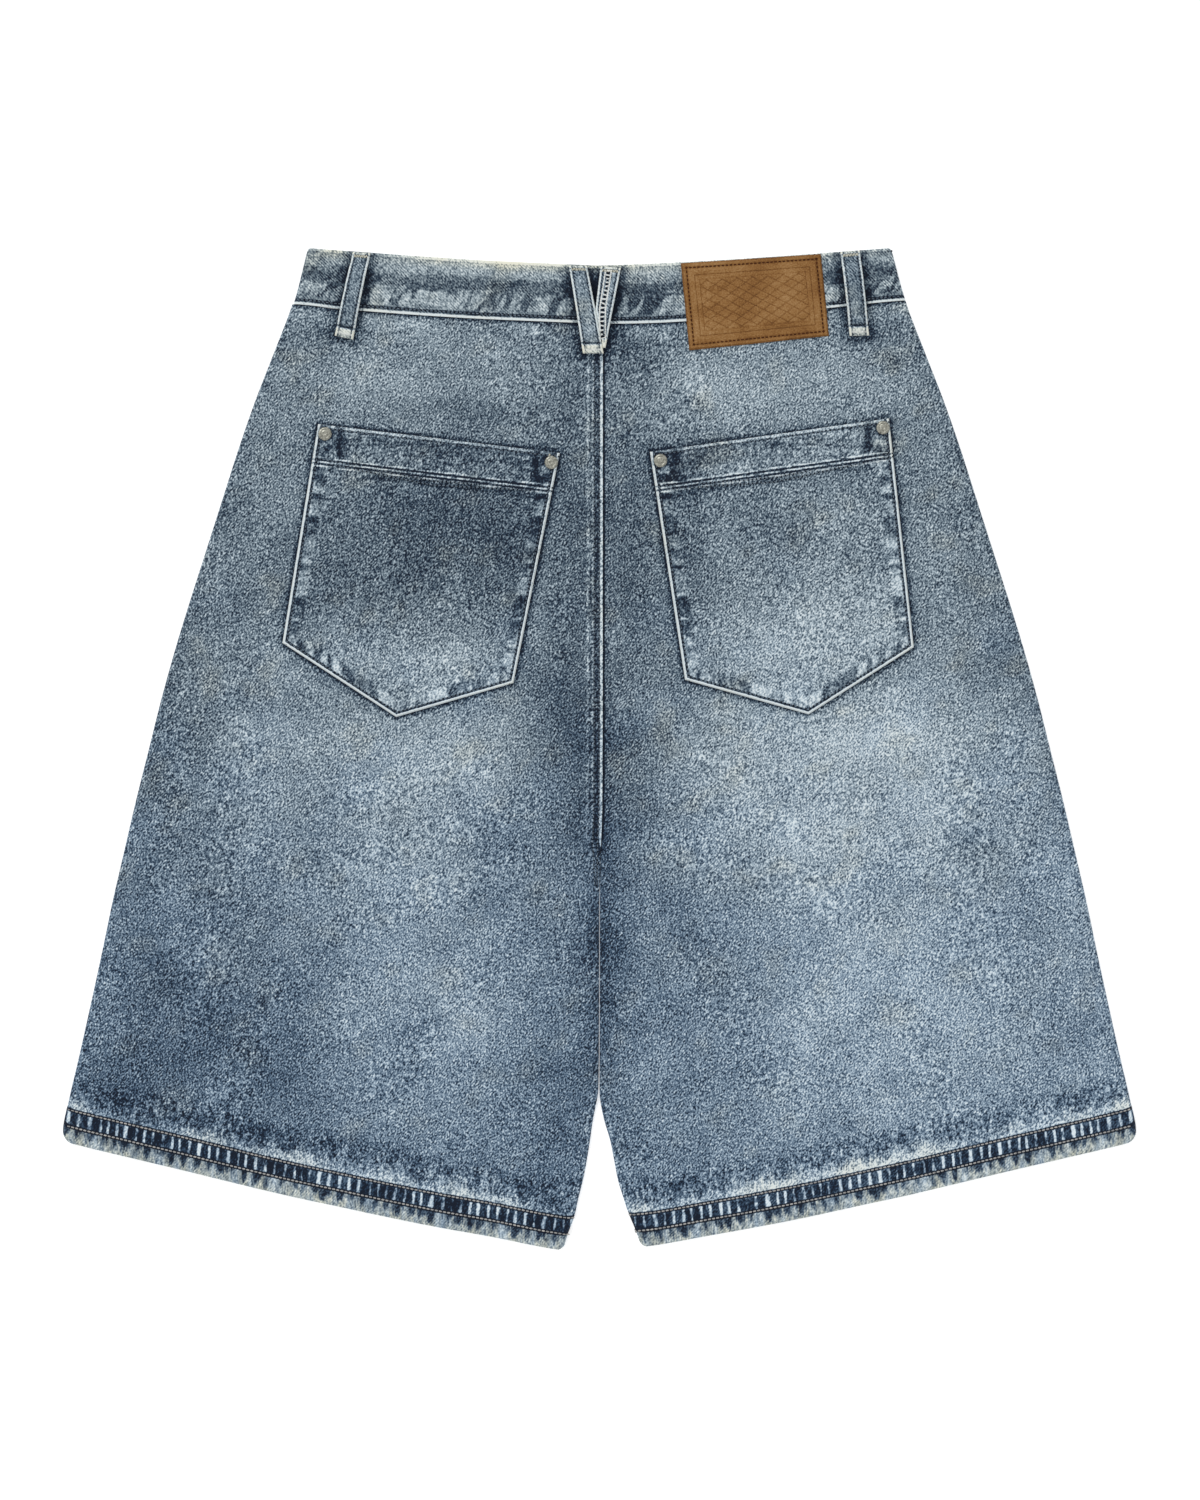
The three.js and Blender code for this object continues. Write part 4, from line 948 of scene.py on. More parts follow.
def build_band():
    """The waistband: one strip round the flattened waist, from its lapping end to the end under it."""
    turn = np.radians(np.linspace(85, -85, 15))
    stations = [("front", k) for k in -np.linspace(0.0004, 1, 70)]
    stations += [("side_left", a) for a in turn[::-1]]
    stations += [("back", k) for k in np.linspace(-1, 1, 221)]
    stations += [("side_right", a) for a in turn]
    stations += [("lapped", k) for k in np.linspace(1, -0.182, 84)]
    w = np.concatenate([[0, 0.012, 0.03], np.linspace(0.05, 0.93, 28), [0.95, 0.966, 0.98, 0.992, 1.0]])
    full = np.interp(
        w, [0, 0.012, 0.03, 0.95, 0.966, 0.98, 0.992, 1], [0.82, 0.94, 1, 1, 0.96, 0.82, 0.58, 0]
    )
    faces = []
    for out in (True, False):
        skin = mix(0.5, 1.0 if out else 0.0, full)
        columns = []
        for face, value in stations:
            side_high = mix(band_low(221.0), band_top(211.0), w)
            reach = half_width(side_high)
            flat = reach - EDGE_ROLL
            half = BAND_HIGH / 2
            if face.startswith("side"):
                sign = -1 if face == "side_left" else 1
                radius = mix(EDGE_ROLL - BAND_WALL, EDGE_ROLL, skin)
                x = sign * (flat + radius * math.cos(value))
                z = half + mix(half - BAND_WALL, half, skin) * math.sin(value)
                is_front = float(smooth(0.5, -0.5, math.sin(value)))
            else:
                x = value * flat
                is_front = 0.0 if face == "back" else 1.0
                z = mix(BAND_WALL, 0, skin) if is_front else mix(BAND_HIGH - BAND_WALL, BAND_HIGH, skin)
            corner = np.clip(reach - np.abs(x), 0, 3)
            high = band_top(x) - (3 - np.sqrt(9 - (3 - corner) ** 2))
            y = mix(mix(band_low(x), front_low(x), is_front), high, w) - is_front * front_drop(x)
            if face == "lapped":
                z = z + BAND_LAP["high"] * (1 - smooth(BAND_LAP["slope_from"], BAND_LAP["slope_to"], x))
            z = z + button_lift(x, y) + (1 - is_front) * lap_lift(x, y)
            if face == "back" and out:
                above = w * BAND_DEEP
                calm = 1 - np.maximum(bell(above - 3.4, 1.6), bell(above - 38.6, 1.6))
                z = z + 0.2 * patchy(x, y, 20, 21) * calm - 0.35 * bell(above - 3.4, 0.9)
                z = z + 0.2 * np.sin(2 * math.pi * (x + 4 * patchy(x, y, 9, 22)) / 8.5) * bell(above - 6, 5)
            columns.append(np.stack([x, y, z], -1))
        faces.append(np.stack(columns, 1))
    out, into = faces
    x, y = out[..., 0], out[..., 1]
    step = np.hypot(np.diff(x, axis=1), np.diff(out[..., 2], axis=1))
    run = np.concatenate([np.zeros((len(w), 1)), np.cumsum(step, axis=1)], 1)
    shade = fade_and_shade(x, y, BAND_FADES)
    # Painted shadow beside the belt loops.
    shade -= 0.36 * bell(loops_distance(x, y), 4.8)
    looks = {
        "fade_and_shade": shade,
        "rub": 0.25 + 0.75 * bell(x + 50, 95) + 0.3 * patchy(x, y, 24, 23),
        "edge_mm": np.broadcast_to((w * BAND_DEEP)[:, None], x.shape),
        "top_mm": np.broadcast_to(((1 - w) * BAND_DEEP)[:, None], x.shape),
        "run_mm": run,
    }
    return cloth_mesh("denim_waistband", out, into, looks, weld_low=True)


def pocket_grid(corners, across, down):
    """Places on a pocket, with their distances from its edges and along its outline."""
    u, v = np.meshgrid(across, down)
    top = [mix(corners["top_left"][k], corners["top_right"][k], u) for k in (0, 1)]
    left, right = np.clip(u * 2, 0, 1), np.clip(u * 2 - 1, 0, 1)
    low = [
        np.where(u < 0.5, mix(corners["low_left"][k], corners["tip"][k], left),
                 mix(corners["tip"][k], corners["low_right"][k], right))
        for k in (0, 1)
    ]
    x, y = (mix(top[k], low[k], v) for k in (0, 1))
    long = np.hypot(top[0] - low[0], top[1] - low[1])
    side = np.minimum(u, 1 - u) * POCKET["wide"]
    from_top, from_low = v * long, (1 - v) * long
    return x, y, side, from_top, from_low * 0.93


def build_pocket(side):
    corners = POCKETS[side]
    edge = steps((3, 0.5), (12, 0.9)) / POCKET["wide"]
    half = np.concatenate([edge, np.linspace(edge[-1], 0.5, 46)[1:]])
    across = np.concatenate([half, 1 - half[::-1][1:]])
    top_rows = steps((3, 0.5), (24, 1.5), (33, 0.6)) / POCKET_SIDE
    low_rows = 1 - steps((3, 0.5), (12, 0.9))[::-1] / POCKET_MIDDLE
    down = np.concatenate([top_rows, np.linspace(top_rows[-1], low_rows[0], 74)[1:-1], low_rows])
    x, y, near_side, from_top, from_low = pocket_grid(corners, across, down)
    edge_mm = np.minimum(near_side, from_low)
    turned = POCKET["turned_wall"] * (1 - smooth(POCKET["turned_in"], POCKET["turned_in"] + 2, edge_mm))
    band = POCKET["band_wall"] * (1 - smooth(POCKET["band"], POCKET["band"] + 1.2, from_top))
    wall = POCKET["wall"] + np.maximum(turned, band)
    nearest = np.minimum(edge_mm, from_top)
    wall = wall - 1.1 * (1 - smooth(0, 1.0, nearest)) + 0.3 * bell(edge_mm - 1.1, 0.7)
    wall = wall - 0.45 * bell(edge_mm - POCKET_INSET, 0.8) - 0.3 * bell(from_top - POCKET_ROWS[0], 0.8)
    wall = wall - 0.3 * (bell(from_top - POCKET_ROWS[1], 0.8) + bell(from_top - POCKET_ROWS[2], 0.7))
    around = np.where(near_side < from_low, -y, x * np.sign(x - corners["tip"][0]))
    tug = np.sin(2 * math.pi * (around + 3 * patchy(x, y, 9, 31)) / 8.6)
    wall = wall + 0.16 * tug * smooth(2.5, 4, edge_mm) * smooth(10, 7, edge_mm)
    wall = wall + 0.2 * patchy(x, y, 22, 32) * smooth(3, 10, nearest) + 0.07 * patchy(x, y, 8, 33)
    low = back_face(x, y) + SKIN
    out = np.stack([x, y, low + np.maximum(wall, 0.3)], -1)
    into = np.stack([x, y, low], -1)
    shade = fade_and_shade(x, y, POCKET_FADES)
    # A dark bar beside each rivet, and a painted shadow in a ring round its cap.
    for rivet in RIVETS.values():
        away_x, away_y = np.abs(x - rivet[0]), np.abs(y - rivet[1])
        bar = bell(away_x - 10.5, 3.4) * (1 - smooth(21, 25, from_top)) * (1 - smooth(18, 24, away_x))
        shade -= 0.36 * bar + 0.34 * bell(np.hypot(away_x, away_y) - 5.4, 1.0)
    looks = {
        "fade_and_shade": shade, "edge_mm": edge_mm, "top_mm": from_top, "run_mm": around,
    }
    return cloth_mesh(f"denim_pocket_{side}", out, into, looks)


def loop_outline(loop):
    return [loop[key] for key in ("top_left", "top_right", "low_right", "low_left")]


def loops_distance(x, y):
    """Distance to the nearest belt loop."""
    return np.min([polygon_distance(x, y, loop_outline(loop)) for loop in LOOPS.values()], axis=0)


def loop_edges(name, places, long):
    """The two long edges of a belt loop at distances down it."""
    loop = LOOPS[name]
    v = places / long
    left = [mix(loop["top_left"][k], loop["low_left"][k], v) for k in (0, 1)]
    right = [mix(loop["top_right"][k], loop["low_right"][k], v) for k in (0, 1)]
    if "behind" in loop:
        front = LOOPS[loop["behind"]]
        t = (left[1] - front["top_right"][1]) / (front["low_right"][1] - front["top_right"][1])
        left[0] = np.maximum(left[0], mix(front["top_right"][0], front["low_right"][0], t) + 0.15)
    return left, right


def loop_length(name):
    loop = LOOPS[name]
    return math.dist(loop["top_left"], loop["low_left"])


def loop_low(x, y, places, long):
    free = np.clip((places - LOOP["sewn"]) / (long - 2 * LOOP["sewn"]), 0, 1)
    arch = LOOP["clear"] * (1 - np.abs(2 * free - 1) ** 2.6) ** (1 / 1.6)
    return seam_face(x, y, 7) + SKIN + arch


def loop_thick(places, long):
    end = LOOP["end_wall"] * smooth(long - LOOP["end_fold"] - 0.8, long - LOOP["end_fold"], places)
    return LOOP["wall"] + end - 0.7 * (1 - smooth(0, 0.9, np.minimum(places, long - places)))


def build_loop(name):
    long = loop_length(name)
    places = steps((10, 0.7), (long - 10, 1.1), (long, 0.5))
    left, right = loop_edges(name, places, long)
    across = np.array([
        0, 0.03, 0.07, 0.12, 0.17, 0.22, 0.3, 0.4, 0.5, 0.6, 0.7, 0.78, 0.83, 0.88, 0.93, 0.97, 1,
    ])
    x = mix(left[0][:, None], right[0][:, None], across[None, :])
    y = mix(left[1][:, None], right[1][:, None], across[None, :])
    wide = np.hypot(right[0] - left[0], right[1] - left[1])[:, None]
    down = np.broadcast_to(places[:, None], x.shape)
    low = loop_low(x, y, down, long).max(axis=1, keepdims=True) + 0 * x
    edge = np.minimum(across, 1 - across)[None, :] * wide
    thick = loop_thick(down, long) - 0.8 * (1 - smooth(0, 0.8, edge)) + 0.15 * bell(edge - 1.0, 0.6)
    thick = thick - 0.25 * bell(edge - LOOP_INSET, 0.6) + 0.12 * patchy(x, y, 5, 41)
    end = long - down
    looks = {
        "fade_and_shade": fade_and_shade(x, y, LOOP_FADES), "edge_mm": edge, "run_mm": down,
        "end_mm": np.minimum(end, 3.6 + down * 1.6),
    }
    out = np.stack([x, y, low + np.maximum(thick, 0.4)], -1)
    return cloth_mesh(f"denim_{name}", out, np.stack([x, y, low], -1), looks)


def patch_point(u, v):
    top = [mix(PATCH["top_left"][k], PATCH["top_right"][k], u) for k in (0, 1)]
    low = [mix(PATCH["low_left"][k], PATCH["low_right"][k], u) for k in (0, 1)]
    return mix(top[0], low[0], v), mix(top[1], low[1], v)


def build_patch():
    """The leather patch: a plain pressed frame round a small lattice of diamonds."""
    rim = steps((1.2, 0.3), (5.6, 0.55))
    across = np.concatenate([
        rim, np.linspace(5.6, PATCH["wide"] - 5.6, 160)[1:-1], PATCH["wide"] - rim[::-1],
    ])
    down = np.concatenate([rim, np.linspace(5.6, PATCH["high"] - 5.6, 88)[1:-1], PATCH["high"] - rim[::-1]])
    p, q = np.meshgrid(across, down)
    x, y = patch_point(p / PATCH["wide"], q / PATCH["high"])
    edge = np.minimum(np.minimum(p, PATCH["wide"] - p), np.minimum(q, PATCH["high"] - q))
    middle_x, middle_y = p - PATCH["wide"] / 2, q - PATCH["high"] / 2
    lattice = smooth(0.8, 0.3, np.abs((middle_x + 1.6 * middle_y) % 11 - 5.5))
    lattice = np.maximum(lattice, smooth(0.8, 0.3, np.abs((middle_x - 1.6 * middle_y) % 11 - 5.5)))
    field = smooth(12.6, 12.9, edge)
    lines = smooth(0.55, 0.2, np.abs(edge - 9.0)) + smooth(0.4, 0.12, np.abs(edge - 12.2))
    pressed = np.clip(np.maximum(lattice * field, lines), 0, 1)
    wall = PATCH["wall"] - 0.9 * (1 - smooth(0, 1.1, edge)) - 0.22 * bell(edge - 3.6, 0.9) - 0.3 * pressed
    wall = wall + 0.1 * patchy(x, y, 17, 51)
    low = seam_face(x, y, 15) + SKIN
    looks = {"edge_mm": edge, "pressed": pressed}
    out, into = np.stack([x, y, low + np.maximum(wall, 0.4)], -1), np.stack([x, y, low], -1)
    return cloth_mesh("leather_patch_piece", out, into, looks)


def turned_piece(name, profile, at, low, sides):
    """A turned metal piece from its profile of radius and height."""
    angles = np.linspace(0, 2 * math.pi, sides, endpoint=False)
    rings = profile[1:-1]
    points = [(at[0], at[1], low + profile[0][1])]
    for radius, high in rings:
        points += [(at[0] + radius * math.cos(a), at[1] + radius * math.sin(a), low + high) for a in angles]
    points.append((at[0], at[1], low + profile[-1][1]))
    end = len(points) - 1
    faces = []
    for k in range(sides):
        n = (k + 1) % sides
        faces.append([0, 1 + n, 1 + k])
        last = 1 + (len(rings) - 1) * sides
        faces.append([end, last + k, last + n])
        for ring in range(len(rings) - 1):
            a = 1 + ring * sides
            faces.append([a + k, a + n, a + sides + n, a + sides + k])
    return finish_mesh(name, np.array(points), faces, {}, len(points))


def stitch_tree():
    """Geometry Nodes: one small rounded piece for each step along every line of a mesh."""
    tree = bpy.data.node_groups.new("Stitch row", "GeometryNodeTree")
    sockets = {}
    for name, kind in (
        ("Geometry", "NodeSocketGeometry"), ("Step", "NodeSocketFloat"), ("Size", "NodeSocketVector"),
        ("Shift along", "NodeSocketFloat"), ("Unevenness", "NodeSocketFloat"),
        ("Thread", "NodeSocketMaterial"),
    ):
        sockets[name] = tree.interface.new_socket(name, in_out="INPUT", socket_type=kind)
    tree.interface.new_socket("Geometry", in_out="OUTPUT", socket_type="NodeSocketGeometry")
    add, link = tree.nodes.new, tree.links.new
    given, made = add("NodeGroupInput"), add("NodeGroupOutput")
    curve, points = add("GeometryNodeMeshToCurve"), add("GeometryNodeCurveToPoints")
    points.mode = "LENGTH"
    link(given.outputs["Geometry"], curve.inputs[0])
    link(curve.outputs[0], points.inputs["Curve"])
    link(given.outputs["Step"], points.inputs["Length"])
    ball = add("GeometryNodeMeshUVSphere")
    ball.inputs["Segments"].default_value = 6
    ball.inputs["Rings"].default_value = 5
    ball.inputs["Radius"].default_value = 0.5
    shaped = add("GeometryNodeTransform")
    link(ball.outputs["Mesh"], shaped.inputs["Geometry"])
    link(given.outputs["Size"], shaped.inputs["Scale"])
    shift = add("ShaderNodeCombineXYZ")
    link(given.outputs["Shift along"], shift.inputs["X"])
    link(shift.outputs[0], shaped.inputs["Translation"])
    turn = add("FunctionNodeAlignRotationToVector")
    turn.axis = "X"
    link(points.outputs["Tangent"], turn.inputs["Vector"])
    chance = add("FunctionNodeRandomValue")
    chance.data_type = "FLOAT"
    for key, value in (("Min", -1.0), ("Max", 1.0)):
        next(s for s in chance.inputs if s.name == key and s.type == "VALUE").default_value = value
    chance.inputs["Seed"].default_value = 7
    swing = add("ShaderNodeMath")
    swing.operation = "MULTIPLY"
    link(next(s for s in chance.outputs if s.type == "VALUE"), swing.inputs[0])
    link(given.outputs["Unevenness"], swing.inputs[1])
    about = add("ShaderNodeCombineXYZ")
    link(swing.outputs[0], about.inputs["Z"])
    rotate = add("FunctionNodeRotateRotation")
    link(turn.outputs[0], rotate.inputs[0])
    link(about.outputs[0], rotate.inputs[1])
    place = add("GeometryNodeInstanceOnPoints")
    link(points.outputs["Points"], place.inputs["Points"])
    link(shaped.outputs[0], place.inputs["Instance"])
    link(rotate.outputs[0], place.inputs["Rotation"])
    real, material = add("GeometryNodeRealizeInstances"), add("GeometryNodeSetMaterial")
    link(place.outputs[0], real.inputs[0])
    link(real.outputs[0], material.inputs["Geometry"])
    link(given.outputs["Thread"], material.inputs["Material"])
    link(material.outputs[0], made.inputs[0])
    return tree, {name: socket.identifier for name, socket in sockets.items()}


def sew(name, lines, step, size, finish, shift=0.0, uneven=0.06):
    """Runs the stitch tree along lines of points, and keeps the result as one plain mesh."""
    tree, socket = stitch_tree()
    mesh = bpy.data.meshes.new(name + "_lines")
    points, edges = [], []
    for line in lines:
        start = len(points)
        points += [tuple(p) for p in ((np.asarray(line) - np.array([0, SHEET_MIDDLE_Y, 0])) * MM)]
        edges += [(k, k + 1) for k in range(start, len(points) - 1)]
    mesh.from_pydata(points, edges, [])
    guide = bpy.data.objects.new(name + "_guide", mesh)
    bpy.context.scene.collection.objects.link(guide)
    modifier = guide.modifiers.new("stitches", "NODES")
    modifier.node_group = tree
    values = {
        "Step": step * MM, "Size": [s * MM for s in size], "Shift along": shift * MM,
        "Unevenness": uneven, "Thread": FINISHES[finish],
    }
    for key, value in values.items():
        modifier[socket[key]] = value
    made = guide.evaluated_get(bpy.context.evaluated_depsgraph_get())
    sewn = bpy.data.meshes.new_from_object(made)
    guide.modifiers.clear()
    bpy.data.objects.remove(guide)
    bpy.data.meshes.remove(mesh)
    bpy.data.node_groups.remove(tree)
    sewn.name = name
    sewn.shade_smooth()
    piece = bpy.data.objects.new(name, sewn)
    bpy.context.scene.collection.objects.link(piece)
    return place_piece(piece, None)


def row_of_stitches(name, lines, finish, step=3.0, size=(2.5, 0.75, 0.5), hole_shade=1.2):
    """A row of stitches, with dark beads between them as painted shade in the needle holes."""
    sew(name + "_thread", lines, step, size, finish)
    sew(name + "_holes", lines, step, (hole_shade, hole_shade, 0.36), "hole_shade", shift=step / 2)


def back_rows():
    """Stitch lines down the centre back seam, curving in at the crotch."""
    y = np.arange(302, -99, -3.0)
    curve = smooth(-60, -100, y)
    lines = []
    for inside, bend in CENTRE_ROWS:
        x = inner_edge("back", -1, y) - inside + bend * curve
        face = back_face(x, y) + (1.2 - 0.28) * smooth(*SEAM_END, y)
        lines.append(np.stack([x, y, face + 0.12], -1))
    return lines


def hem_rows(side, leg, above):
    """A stitch line round the hem at a height above its fold, on the back's face or under the front."""
    inner = leg * float(along(INNER_EDGE, "y", "half_gap", -330)) + 1.0
    start = inner + leg * 2.5
    x = np.arange(abs(start), 384, 3.0) * leg
    x = x[np.abs(x) < half_width(-290 + above) - 1.5]
    y = hem_edge(x) + above
    edge = inner_edge(side, leg, y)
    x = np.where(np.abs(x) < np.abs(edge) + 1.2, edge + leg * 1.2, x)
    away = np.minimum(half_width(y) - np.abs(x), np.abs(x - edge))
    drop = roll_drop(away)
    if side == "back":
        high = mix(back_face(x, y) - 0.25, HEM_HIGH / 2, drop)
    else:
        high = mix(0.16 + 0 * x, HEM_HIGH / 2, drop)
    return np.stack([x, y, high + (0.1 if side == "back" else 0)], -1)


class ShortsSizes(bpy.types.PropertyGroup):
    """Sizes of the cloth and sewing that can be changed."""

    cloth_step: FloatProperty(
        name="Cloth step", description="Distance between the points of the panels", default=2.7 * MM,
        min=1 * MM, max=10 * MM, subtype="DISTANCE", unit="LENGTH",
    )
    stitch_step: FloatProperty(
        name="Stitch step", description="Length of one stitch with its gap", default=3.0 * MM,
        min=1 * MM, max=8 * MM, subtype="DISTANCE", unit="LENGTH",
    )
    thread_wide: FloatProperty(
        name="Thread width", description="Width of the sewing thread", default=0.75 * MM,
        min=0.2 * MM, max=2 * MM, subtype="DISTANCE", unit="LENGTH",
    )


class ShortsColours(bpy.types.PropertyGroup):
    """Colours of the stage that can be changed."""

    floor: FloatVectorProperty(
        name="Floor", description="Colour of the floor", default=(0.93, 0.93, 0.93), size=3, min=0, max=1,
        subtype="COLOR",
    )


class SHORTS_OT_stage(bpy.types.Operator):
    """Makes the floor, the soft light and the camera straight above the shorts"""

    bl_idname = "shorts.stage"
    bl_label = "Stage"

    def execute(self, context):
        scene = context.scene
        scene.view_settings.view_transform = "Standard"
        size = 6.0
        mesh = bpy.data.meshes.new("floor")
        corners = [(-size, -size, 0), (size, -size, 0), (size, size, 0), (-size, size, 0)]
        mesh.from_pydata([(x, y, -0.0003) for x, y, _ in corners], [], [(0, 1, 2, 3)])
        floor = bpy.data.objects.new("floor", mesh)
        scene.collection.objects.link(floor)
        plain = bpy.data.materials.new("pale_floor")
        plain.use_nodes = True
        shader = plain.node_tree.nodes["Principled BSDF"]
        shader.inputs["Base Color"].default_value = (*scene.shorts_colours.floor, 1)
        shader.inputs["Roughness"].default_value = 0.9
        shader.inputs["Specular IOR Level"].default_value = 0.1
        shader.inputs["Emission Color"].default_value = (1, 1, 1, 1)
        shader.inputs["Emission Strength"].default_value = 0.42
        mesh.materials.append(plain)

        world = bpy.data.worlds.new("studio")
        world.use_nodes = True
        world.node_tree.nodes["Background"].inputs["Color"].default_value = (1, 1, 1, 1)
        world.node_tree.nodes["Background"].inputs["Strength"].default_value = 0.76
        scene.world = world
        lamp = bpy.data.lights.new("soft_key", "SUN")
        lamp.energy = 0.85
        lamp.angle = math.radians(28)
        key = bpy.data.objects.new("soft_key", lamp)
        key.rotation_euler = Vector((-0.55, 0.75, 0.9)).to_track_quat("Z", "Y").to_euler()
        scene.collection.objects.link(key)

        lens = bpy.data.cameras.new("camera")
        lens.type = "PERSP"
        lens.sensor_width = 36
        away = 3.0
        lens.lens = 36 * (away - 0.006) / (PHOTO_HIGH * PIXEL_MM * MM)
        camera = bpy.data.objects.new("camera", lens)
        camera.location = (0.5 * PIXEL_MM * MM, (-1.5 * PIXEL_MM - SHEET_MIDDLE_Y) * MM, away)
        scene.collection.objects.link(camera)
        scene.camera = camera
        return {"FINISHED"}


class SHORTS_OT_finishes(bpy.types.Operator):
    """Makes the washed denim, leather, metal and thread"""

    bl_idname = "shorts.finishes"
    bl_label = "Finishes"

    def execute(self, context):
        FINISHES.update(make_finishes())
        return {"FINISHED"}


class SHORTS_OT_back(bpy.types.Operator):
    """Makes the two back panels"""

    bl_idname = "shorts.back"
    bl_label = "Back panels"

    def execute(self, context):
        step = context.scene.shorts_sizes.cloth_step / MM
        for leg, node in ((-1, "back_left"), (1, "back_right")):
            piece = place_piece(build_panel("back", leg, step, step), FINISHES["panel"], node)
        return {"FINISHED"}


class SHORTS_OT_front(bpy.types.Operator):
    """Makes the two front panels, which lie on the floor"""

    bl_idname = "shorts.front"
    bl_label = "Front panels"

    def execute(self, context):
        for leg, node in ((-1, "front_left"), (1, "front_right")):
            piece = place_piece(build_panel("front", leg, 5.0, 5.0), FINISHES["panel"], node)
        return {"FINISHED"}


class SHORTS_OT_waistband(bpy.types.Operator):
    """Makes the waistband"""

    bl_idname = "shorts.waistband"
    bl_label = "Waistband"

    def execute(self, context):
        piece = place_piece(build_band(), FINISHES["band"], "waistband")
        return {"FINISHED"}


class SHORTS_OT_pockets(bpy.types.Operator):
    """Makes the two back patch pockets"""

    bl_idname = "shorts.pockets"
    bl_label = "Back pockets"

    def execute(self, context):
        for side in POCKETS:
            piece = place_piece(build_pocket(side), FINISHES["pocket"], f"back_pocket_{side}")
        return {"FINISHED"}


class SHORTS_OT_belt_loops(bpy.types.Operator):
    """Makes the four belt loops of the back"""

    bl_idname = "shorts.belt_loops"
    bl_label = "Belt loops"

    def execute(self, context):
        for name in LOOPS:
            piece = place_piece(build_loop(name), FINISHES["loop"], name)
        return {"FINISHED"}


class SHORTS_OT_patch(bpy.types.Operator):
    """Makes the leather patch and its stitches"""

    bl_idname = "shorts.patch"
    bl_label = "Leather patch"

    def execute(self, context):
        piece = place_piece(build_patch(), FINISHES["leather"], "leather_patch")
        inset_x, inset_y = 3.6 / PATCH["wide"], 3.6 / PATCH["high"]
        corners = [
            (inset_x, inset_y), (1 - inset_x, inset_y), (1 - inset_x, 1 - inset_y), (inset_x, 1 - inset_y),
        ]
        lines = []
        for (u0, v0), (u1, v1) in zip(corners, [*corners[1:], corners[0]], strict=True):
            x, y = patch_point(np.linspace(u0, u1, 40), np.linspace(v0, v1, 40))
            lines.append(np.stack([x, y, seam_face(x, y, 15) + SKIN + PATCH["wall"] - 0.1], -1))
        sew("patch_stitches", lines, 2.9, (2.5, 1.15, 0.5), "brown_thread")
        return {"FINISHED"}


class SHORTS_OT_metal(bpy.types.Operator):
    """Makes the pocket rivets and the waist button"""

    bl_idname = "shorts.metal"
    bl_label = "Rivets and button"

    def execute(self, context):
        for name, (x, y) in RIVETS.items():
            face = float(back_face(np.array(x), np.array(y)))
            low = face + SKIN + POCKET["wall"] + POCKET["band_wall"] - 0.05
            piece = turned_piece(name + "_cap", RIVET_PROFILE, (x, y), low, 40)
            place_piece(piece, FINISHES["rivet"], name)
        piece = turned_piece("waist_button_head", BUTTON_PROFILE, BUTTON_AT, 0.0, 56)
        place_piece(piece, FINISHES["button"], "waist_button")
        return {"FINISHED"}


